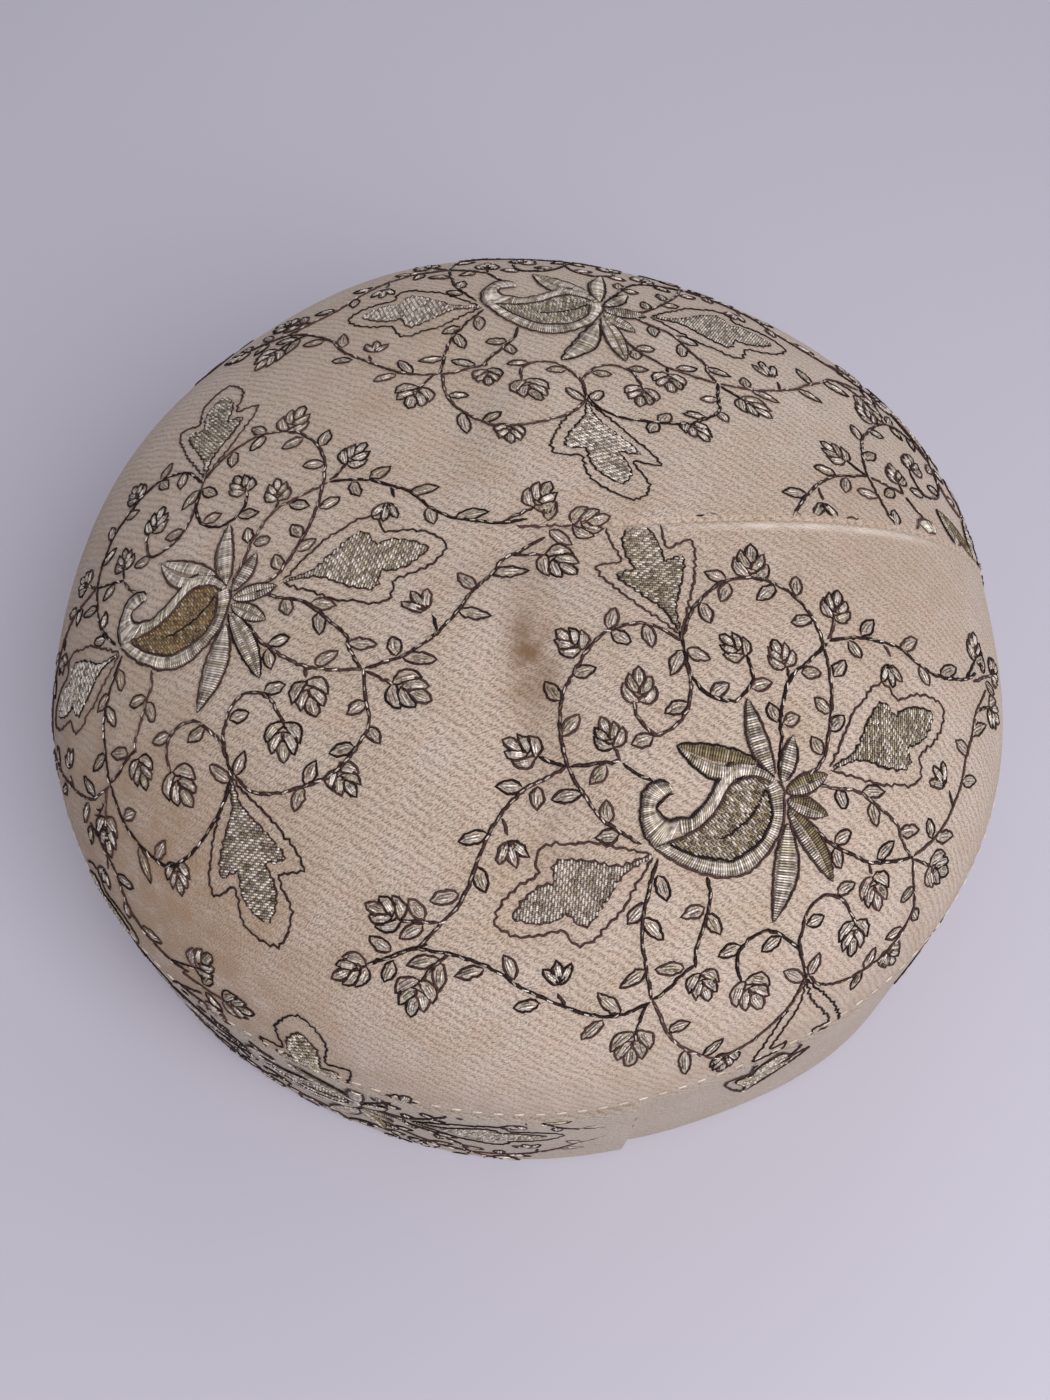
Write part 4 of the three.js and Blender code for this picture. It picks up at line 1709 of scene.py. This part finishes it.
@dataclass
class StitchedPiece:
    """Threads laid on the cloth as one mesh."""

    name: str
    work: Stitchwork
    lay: Lay
    drape: Callable[[Array, Array], Array]
    slot: str
    flatten: float = 0.72  # a thread's height against its width
    unevenness: Span = (0.78, 1.22)  # a line's radius at its places
    end_radius: float = 0.35  # a line's end against the rest of it
    arch: tuple[float, ...] = (0.0, 0.22, 0.78, 1.0)  # where a stitch has its ends and its arch
    arch_along: tuple[float, ...] = (0.0, 0.4, 1.6, 2.0)  # lengths that its twist is drawn at there

    def build(self) -> bpy.types.Object:
        """Lays every thread and joins them in one mesh."""
        parts = [part for part in (self.tubes(), self.spindles()) if part is not None]
        faces = []
        offset = 0
        for part in parts:
            faces += [[corner + offset for corner in face] for face in part.faces]
            offset += len(part.places)
        threads = np.concatenate([part.threads for part in parts])
        used = [thread for thread in Thread if (threads == thread).any()]
        mesh = bpy.data.meshes.new(self.name)
        mesh.from_pydata((np.concatenate([part.places for part in parts]) * MM).tolist(), [], faces)
        index = {thread: i for i, thread in enumerate(used)}
        order = np.array([index[thread] for thread in threads], dtype=np.int32)
        for thread in used:
            mesh.materials.append(thread.value.material())
        mesh.polygons.foreach_set("material_index", order)
        mesh.polygons.foreach_set("use_smooth", np.ones(len(faces), dtype=bool))
        set_attribute(mesh, TINT, np.concatenate([part.tint for part in parts]))
        set_attribute(mesh, ALONG, np.concatenate([part.along for part in parts]))
        mesh.update()
        piece = bpy.data.objects.new(self.name, mesh)
        bpy.context.scene.collection.objects.link(piece)
        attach(piece, BODY)
        return piece

    def rings(self, places: Array, normals: Array, ahead: Array, radius: Array) -> Array:
        """Four places round each place of a thread: right, top, left and under it."""
        across = unit(np.cross(ahead, normals))
        top = unit(np.cross(across, ahead))
        wide, high = radius[:, None] * across, self.flatten * radius[:, None] * top
        return np.stack([places + wide, places + high, places - wide, places - high], axis=1)

    def tubes(self) -> ThreadMesh | None:
        """Threads that follow lines, cut where the design leaves the cloth."""
        lines = self.work.lines
        if not lines:
            return None
        flat = np.concatenate([line.places for line in lines])
        owner = np.concatenate([np.full(len(line.places), i) for i, line in enumerate(lines)])
        lift = np.concatenate([line.lift for line in lines])
        radius = np.array([line.radius for line in lines])[owner]
        places, normals, kept = self.lay(flat)
        places = self.drape(places + normals * lift[:, None], normals)
        linked = (owner[1:] == owner[:-1]) & kept[1:] & kept[:-1]
        before, after = np.append(False, linked), np.append(linked, False)
        ahead = np.zeros_like(places)
        ahead[:-1][linked] += (places[1:] - places[:-1])[linked]
        ahead[1:][linked] += (places[1:] - places[:-1])[linked]
        radius = np.where(before & after, radius, radius * self.end_radius)
        radius = radius * self.work.chance.uniform(*self.unevenness, len(radius))
        rings = self.rings(places, normals, unit(ahead), radius)
        used = before | after
        number = np.cumsum(used) - 1
        faces, owners = [], []
        for i in np.flatnonzero(linked):
            a, b = RING * number[i], RING * number[i + 1]
            faces += [(a + k, b + k, b + (k + 1) % RING, a + (k + 1) % RING) for k in range(RING)]
            owners += [owner[i]] * RING
        for i in np.flatnonzero(used & ~before):
            faces.append(tuple(RING * number[i] + k for k in range(RING)))
            owners.append(owner[i])
        for i in np.flatnonzero(used & ~after):
            faces.append(tuple(RING * number[i] + k for k in reversed(range(RING))))
            owners.append(owner[i])
        threads = np.array([line.thread for line in lines], dtype=object)[np.array(owners, dtype=int)]
        step = np.concatenate([[0.0], np.linalg.norm(np.diff(places, axis=0), axis=1)])
        tint = self.work.chance.uniform(0.0, 1.0, len(lines))[owner]
        tint, along = (np.repeat(values[used], RING) for values in (tint, np.cumsum(step)))
        return ThreadMesh(rings[used].reshape(-1, 3), faces, threads, tint, along)

    def spindles(self) -> ThreadMesh | None:
        """Straight stitches, each pointed at both ends and arched between them."""
        blocks = self.work.blocks
        if not blocks:
            return None
        starts = np.concatenate([block.starts for block in blocks])
        ends = np.concatenate([block.ends for block in blocks])
        threads = np.concatenate([block.threads for block in blocks])
        owner = np.repeat(np.arange(len(blocks)), [len(block.starts) for block in blocks])
        lift = np.array([block.lift for block in blocks])[owner]
        radius = np.array([block.radius for block in blocks])[owner]
        dullest = np.array([block.dullest for block in blocks])[owner]
        stations, kept = [], np.ones(len(starts), dtype=bool)
        for share in self.arch:
            places, normals, inside = self.lay(starts + share * (ends - starts))
            high = lift if 0.0 < share < 1.0 else np.zeros_like(lift)
            stations.append((self.drape(places + normals * high[:, None], normals), normals))
            kept &= inside
        first, low, high, last = (places[kept] for places, _ in stations)
        ahead = unit(last - first)
        rings = [self.rings(p, stations[k][1][kept], ahead, radius[kept]) for k, p in ((1, low), (2, high))]
        count = len(first)
        verts = np.concatenate([first[:, None], rings[0], rings[1], last[:, None]], axis=1)
        size = verts.shape[1]
        turn = [(k, (k + 1) % RING) for k in range(RING)]
        near, far = 1, 1 + RING
        pattern = [(0, near + a, near + b) for a, b in turn]
        pattern += [(near + a, far + a, far + b, near + b) for a, b in turn]
        pattern += [(size - 1, far + b, far + a) for a, b in turn]
        faces = [tuple(size * i + corner for corner in face) for i in range(count) for face in pattern]
        tint = np.repeat(self.work.chance.uniform(dullest[kept], 1.0), size)
        along = np.tile(np.repeat(self.arch_along, (1, RING, RING, 1)), count)
        return ThreadMesh(verts.reshape(-1, 3), faces, np.repeat(threads[kept], len(pattern)), tint, along)


class DartSide(Enum):
    """Which side of the dart a spray was sewn on."""

    BOTH = 0
    FRONT = -1
    BEHIND = 1


@dataclass(frozen=True)
class CrownSpray:
    """One spray on the crown: a place of the design, pinned to a place seen from above, and how it lies."""

    name: str
    anchor: Point
    place: Point
    heading: float
    stretch: float = 1.0  # the design's height on the cap against the drawing's
    low_stretch: float = 1.0  # the same below its middle, on top of the stretch
    lean: float = 0.0  # how far it leans to the right for each millimetre up
    swing: float = 0.0  # how its lower end swings right, by the square of the length below swing_from
    swing_from: float = -25.0
    low_from: float = -12.0
    tones: Tones = OLIVE_TONES
    plain_leaf: str | None = None  # a lobed leaf that is left unfilled
    reach: float = 140.0  # how far from the pinned place its cloth goes
    side: DartSide = DartSide.BOTH
    seam_margin: float = 1.8
    dart_margin: float = 0.6

    def lay_on(self, shape: CapShape) -> Lay:
        """Makes the function that lays the flat design on the crown."""

        def lay(flat: Array) -> tuple[Array, Array, Array]:
            """Places on the crown, directions straight up from it, and whether the cloth is there."""
            away = flat - np.array(self.anchor)
            swung = self.swing * np.maximum(self.swing_from - flat[:, 1], 0.0) ** 2
            raised = (1 - self.low_stretch) * np.maximum(self.low_from - away[:, 1], 0.0)
            height = self.stretch * (away[:, 1] + raised)
            away = np.stack([away[:, 0] + self.lean * away[:, 1] + swung, height], axis=1)
            places, normals = shape.walk(self.place, self.heading, away)
            kept = places[:, 2] > shape.seam_height + self.seam_margin
            kept &= np.linalg.norm(away, axis=1) < self.reach
            if self.side is not DartSide.BOTH:
                gap, along = shape.dart.offset(places)
                kept &= (gap * self.side.value > self.dart_margin) | (along <= 0.0)
            return places, normals, kept

        return lay

    def build(self, shape: CapShape, seed: int) -> bpy.types.Object:
        """Stitches the spray on the crown, with a seed for its chance."""
        work = SprayDesign(seed, self.tones).draw(plain_leaf=self.plain_leaf)
        piece = StitchedPiece(f"spray_{self.name}", work, self.lay_on(shape), shape.drape, "crown_cloth")
        return piece.build()


CROWN_SPRAYS = (
    CrownSpray("front_right", (0, 0), (38.8, -49.4), 27, side=DartSide.FRONT, plain_leaf="bottom_leaf"),
    CrownSpray("left", (0, 0), (-48.5, -18.1), 13, stretch=0.97, tones=GOLD_TONES),
    CrownSpray(
        "back",
        (0, 0),
        (13.3, 47.4),
        -1,
        stretch=1.08,
        low_stretch=0.72,
        lean=-0.08,
        swing=0.007,
        side=DartSide.BEHIND,
        tones=SILVER_TONES,
    ),
    CrownSpray("right", (-28.8, 16.6), (59.9, 11.3), 13.8, side=DartSide.BEHIND),
    CrownSpray("front", (1.1, 54.7), (-35.5, -78.9), 8.7),
    CrownSpray("far_left", (55, 1), (-50.6, -73.6), -3.7, reach=36),
    CrownSpray("back_left", (-7.5, -59.4), (-64, 46), 12),
    CrownSpray("back_right", (-7.5, -59.4), (66, 53), 10),
)


def plain_drape(points: Array, normals: Array) -> Array:
    """Leaves places on the band as they are."""
    return points


@dataclass(frozen=True)
class BandSpray:
    """One spray on the side band: the azimuth and height of its middle, and the azimuths its cloth spans."""

    name: str
    azimuth: float
    height: float
    start: float = -75.0
    end: float = 282.5
    only_leaf: str | None = None
    low_margin: float = 1.2
    top_margin: float = 2.2

    def lay_on(self, shape: CapShape) -> Lay:
        """Makes the function that lays the flat design round the band."""

        def lay(flat: Array) -> tuple[Array, Array, Array]:
            """Places on the band, directions straight out of it, and whether the cloth is there."""
            turn = math.radians(self.azimuth) + flat[:, 0] / shape.mean_radius
            height = self.height + flat[:, 1]
            within = np.clip(height, 0.0, shape.seam_height)
            places = shape.band(turn, within)
            normals = np.stack([np.cos(turn), np.sin(turn), np.zeros_like(turn)], axis=1)
            kept = (height > self.low_margin) & (height < shape.seam_height - self.top_margin)
            kept &= (turn > math.radians(self.start)) & (turn < math.radians(self.end))
            return places, normals, kept

        return lay

    def build(self, shape: CapShape, seed: int) -> bpy.types.Object:
        """Stitches the spray on the band, with a seed for its chance."""
        work = SprayDesign(seed).draw(self.only_leaf)
        piece = StitchedPiece(f"spray_{self.name}", work, self.lay_on(shape), plain_drape, "band_cloth")
        return piece.build()


BAND_SPRAYS = (
    BandSpray("band_front", 252, 28),
    BandSpray("band_left", 190, 25),
    BandSpray("band_back_left", 128, 28),
    BandSpray("band_back_right", 66, 25),
    BandSpray("band_right", 4, 28),
    BandSpray("band_end", 298, -9, start=284.0, end=312.0, only_leaf="top_leaf", top_margin=0.4),
)


@dataclass
class Topstitching:
    """Even stitches of cream thread along the crown's edge, over the seam."""

    shape: CapShape
    name: str = "edge_topstitch"
    seed: int = 3
    height: float = 3.6
    length: float = 2.0
    pitch: float = 3.4
    radius: float = 0.22
    lift: float = 0.08

    def build(self) -> bpy.types.Object:
        """Sews the stitches round the crown."""
        work = Stitchwork(self.seed)
        around = 2 * math.pi * self.shape.mean_radius
        count = round(around / self.pitch)
        starts = np.stack([np.arange(count) * around / count, np.zeros(count)], axis=1)
        ends = starts + np.array([self.length, 0.0])
        work.add_block(starts, ends, self.lift, self.radius, ((Thread.CREAM, 1.0),))
        return StitchedPiece(self.name, work, self.lay, self.shape.drape, "crown_cloth").build()

    def lay(self, flat: Array) -> tuple[Array, Array, Array]:
        """Places along the crown's edge, directions straight out of it, and that the cloth is there."""
        turn = flat[:, 0] / self.shape.mean_radius
        places = self.shape.dome(turn, self.height + flat[:, 1])
        return places, unit(self.shape.gradient(places)[1]), np.ones(len(flat), dtype=bool)


# Setting


@dataclass(frozen=True)
class PhotoCamera:
    """The camera that sees the cap as the photo does. Lengths in millimetres."""

    place: tuple[float, float, float] = (-0.7, -130.8, 250.2)
    aim: tuple[float, float, float] = (-0.5, -14.9, 45.0)
    roll: float = 0.013
    focal_px: float = 1228.0
    frame_px: float = 1400.0
    sensor: float = 36.0
    nearest: float = 10.0  # what is closer isn't drawn

    def build(self) -> bpy.types.Object:
        """Adds the camera and makes it the scene's."""
        data = bpy.data.cameras.new("photo_camera")
        data.sensor_width = self.sensor
        data.lens = self.sensor * self.focal_px / self.frame_px
        data.clip_start = self.nearest * MM
        ahead = (Vector(self.aim) - Vector(self.place)).normalized()
        level = ahead.cross(Vector((0, 0, 1))).normalized()
        upright = level.cross(ahead)
        right = math.cos(self.roll) * level + math.sin(self.roll) * upright
        up = right.cross(ahead)
        camera = bpy.data.objects.new(data.name, data)
        turn = Matrix((right, up, -ahead)).transposed().to_4x4()
        camera.matrix_world = Matrix.Translation(Vector(self.place) * MM) @ turn
        bpy.context.scene.collection.objects.link(camera)
        bpy.context.scene.camera = camera
        return camera


@dataclass(frozen=True)
class SoftBox:
    """A large soft lamp. Lengths in metres."""

    name: str
    place: tuple[float, float, float]
    aim: tuple[float, float, float]
    size: float
    power: float
    colour: Colour

    def build(self) -> bpy.types.Object:
        """Adds the lamp."""
        data = bpy.data.lights.new(self.name, "AREA")
        data.size = self.size
        data.energy = self.power
        data.color = self.colour
        lamp = bpy.data.objects.new(self.name, data)
        lamp.location = self.place
        lamp.rotation_euler = (Vector(self.aim) - Vector(self.place)).to_track_quat("-Z", "Y").to_euler()
        bpy.context.scene.collection.objects.link(lamp)
        return lamp


@dataclass(frozen=True)
class Studio:
    """A pale floor under soft light from the right and behind."""

    floor_size: float = 8.0
    floor_colour: Colour = (0.535, 0.514, 0.604)
    floor_roughness: float = 0.8
    sky: Colour = (0.86, 0.85, 0.90)
    sky_strength: float = 0.4
    lamps: tuple[SoftBox, ...] = (
        SoftBox("key_light", (0.27, -0.41, 0.54), (0.0, 0.0, 0.05), 0.5, 4.5, (1.0, 0.985, 0.97)),
        SoftBox("back_light", (0.05, 0.85, 0.55), (0.0, 0.2, 0.0), 0.8, 2.1, (0.98, 0.98, 1.0)),
    )

    def build(self) -> None:
        """Lays the floor and sets the lights."""
        deselect()
        bpy.ops.mesh.primitive_plane_add(size=self.floor_size)
        floor = bpy.context.object
        floor.name = "floor"
        floor.data.materials.append(self.floor_material())
        world = bpy.data.worlds.new("studio")
        world.use_nodes = True
        background = world.node_tree.nodes["Background"]
        background.inputs["Color"].default_value = (*self.sky, 1.0)
        background.inputs["Strength"].default_value = self.sky_strength
        bpy.context.scene.world = world
        for lamp in self.lamps:
            lamp.build()

    def floor_material(self) -> bpy.types.Material:
        """Makes the floor's plain pale finish."""
        made = bpy.data.materials.new("pale_floor")
        made.use_nodes = True
        NodeBoard(made.node_tree).surface(self.floor_colour, None, {"Roughness": self.floor_roughness})
        return made


def main() -> None:
    """Builds the cap's pieces in order."""
    logging.basicConfig(level=logging.INFO, format="%(message)s")
    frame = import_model()
    bpy.context.scene.view_settings.view_transform = "Standard"
    PhotoCamera().build()
    shape = CapShape.measured(frame)
    crown_maker, band_maker = CrownCloth(shape), BandCloth(shape)
    crown = crown_maker.build()
    crown_maker.dress(crown, CROWN_FINISH)
    log.info("crown: %d faces", len(crown.data.polygons))
    band = band_maker.build()
    band_maker.dress(band, BAND_FINISH)
    log.info("band: %d faces", len(band.data.polygons))
    on_crown = [Topstitching(shape).build()]
    on_crown += [spray.build(shape, seed) for seed, spray in enumerate(CROWN_SPRAYS, CROWN_SEED)]
    on_band = [spray.build(shape, seed) for seed, spray in enumerate(BAND_SPRAYS, BAND_SEED)]
    for piece in on_crown + on_band:
        log.info("%s: %d triangles", piece.name, sum(len(face.vertices) - 2 for face in piece.data.polygons))
    crown_maker.declare(crown, band, on_crown)
    band_maker.declare(band, on_band)
    Studio().build()
    bpy.context.view_layer.update()


if __name__ == "__main__":
    main()
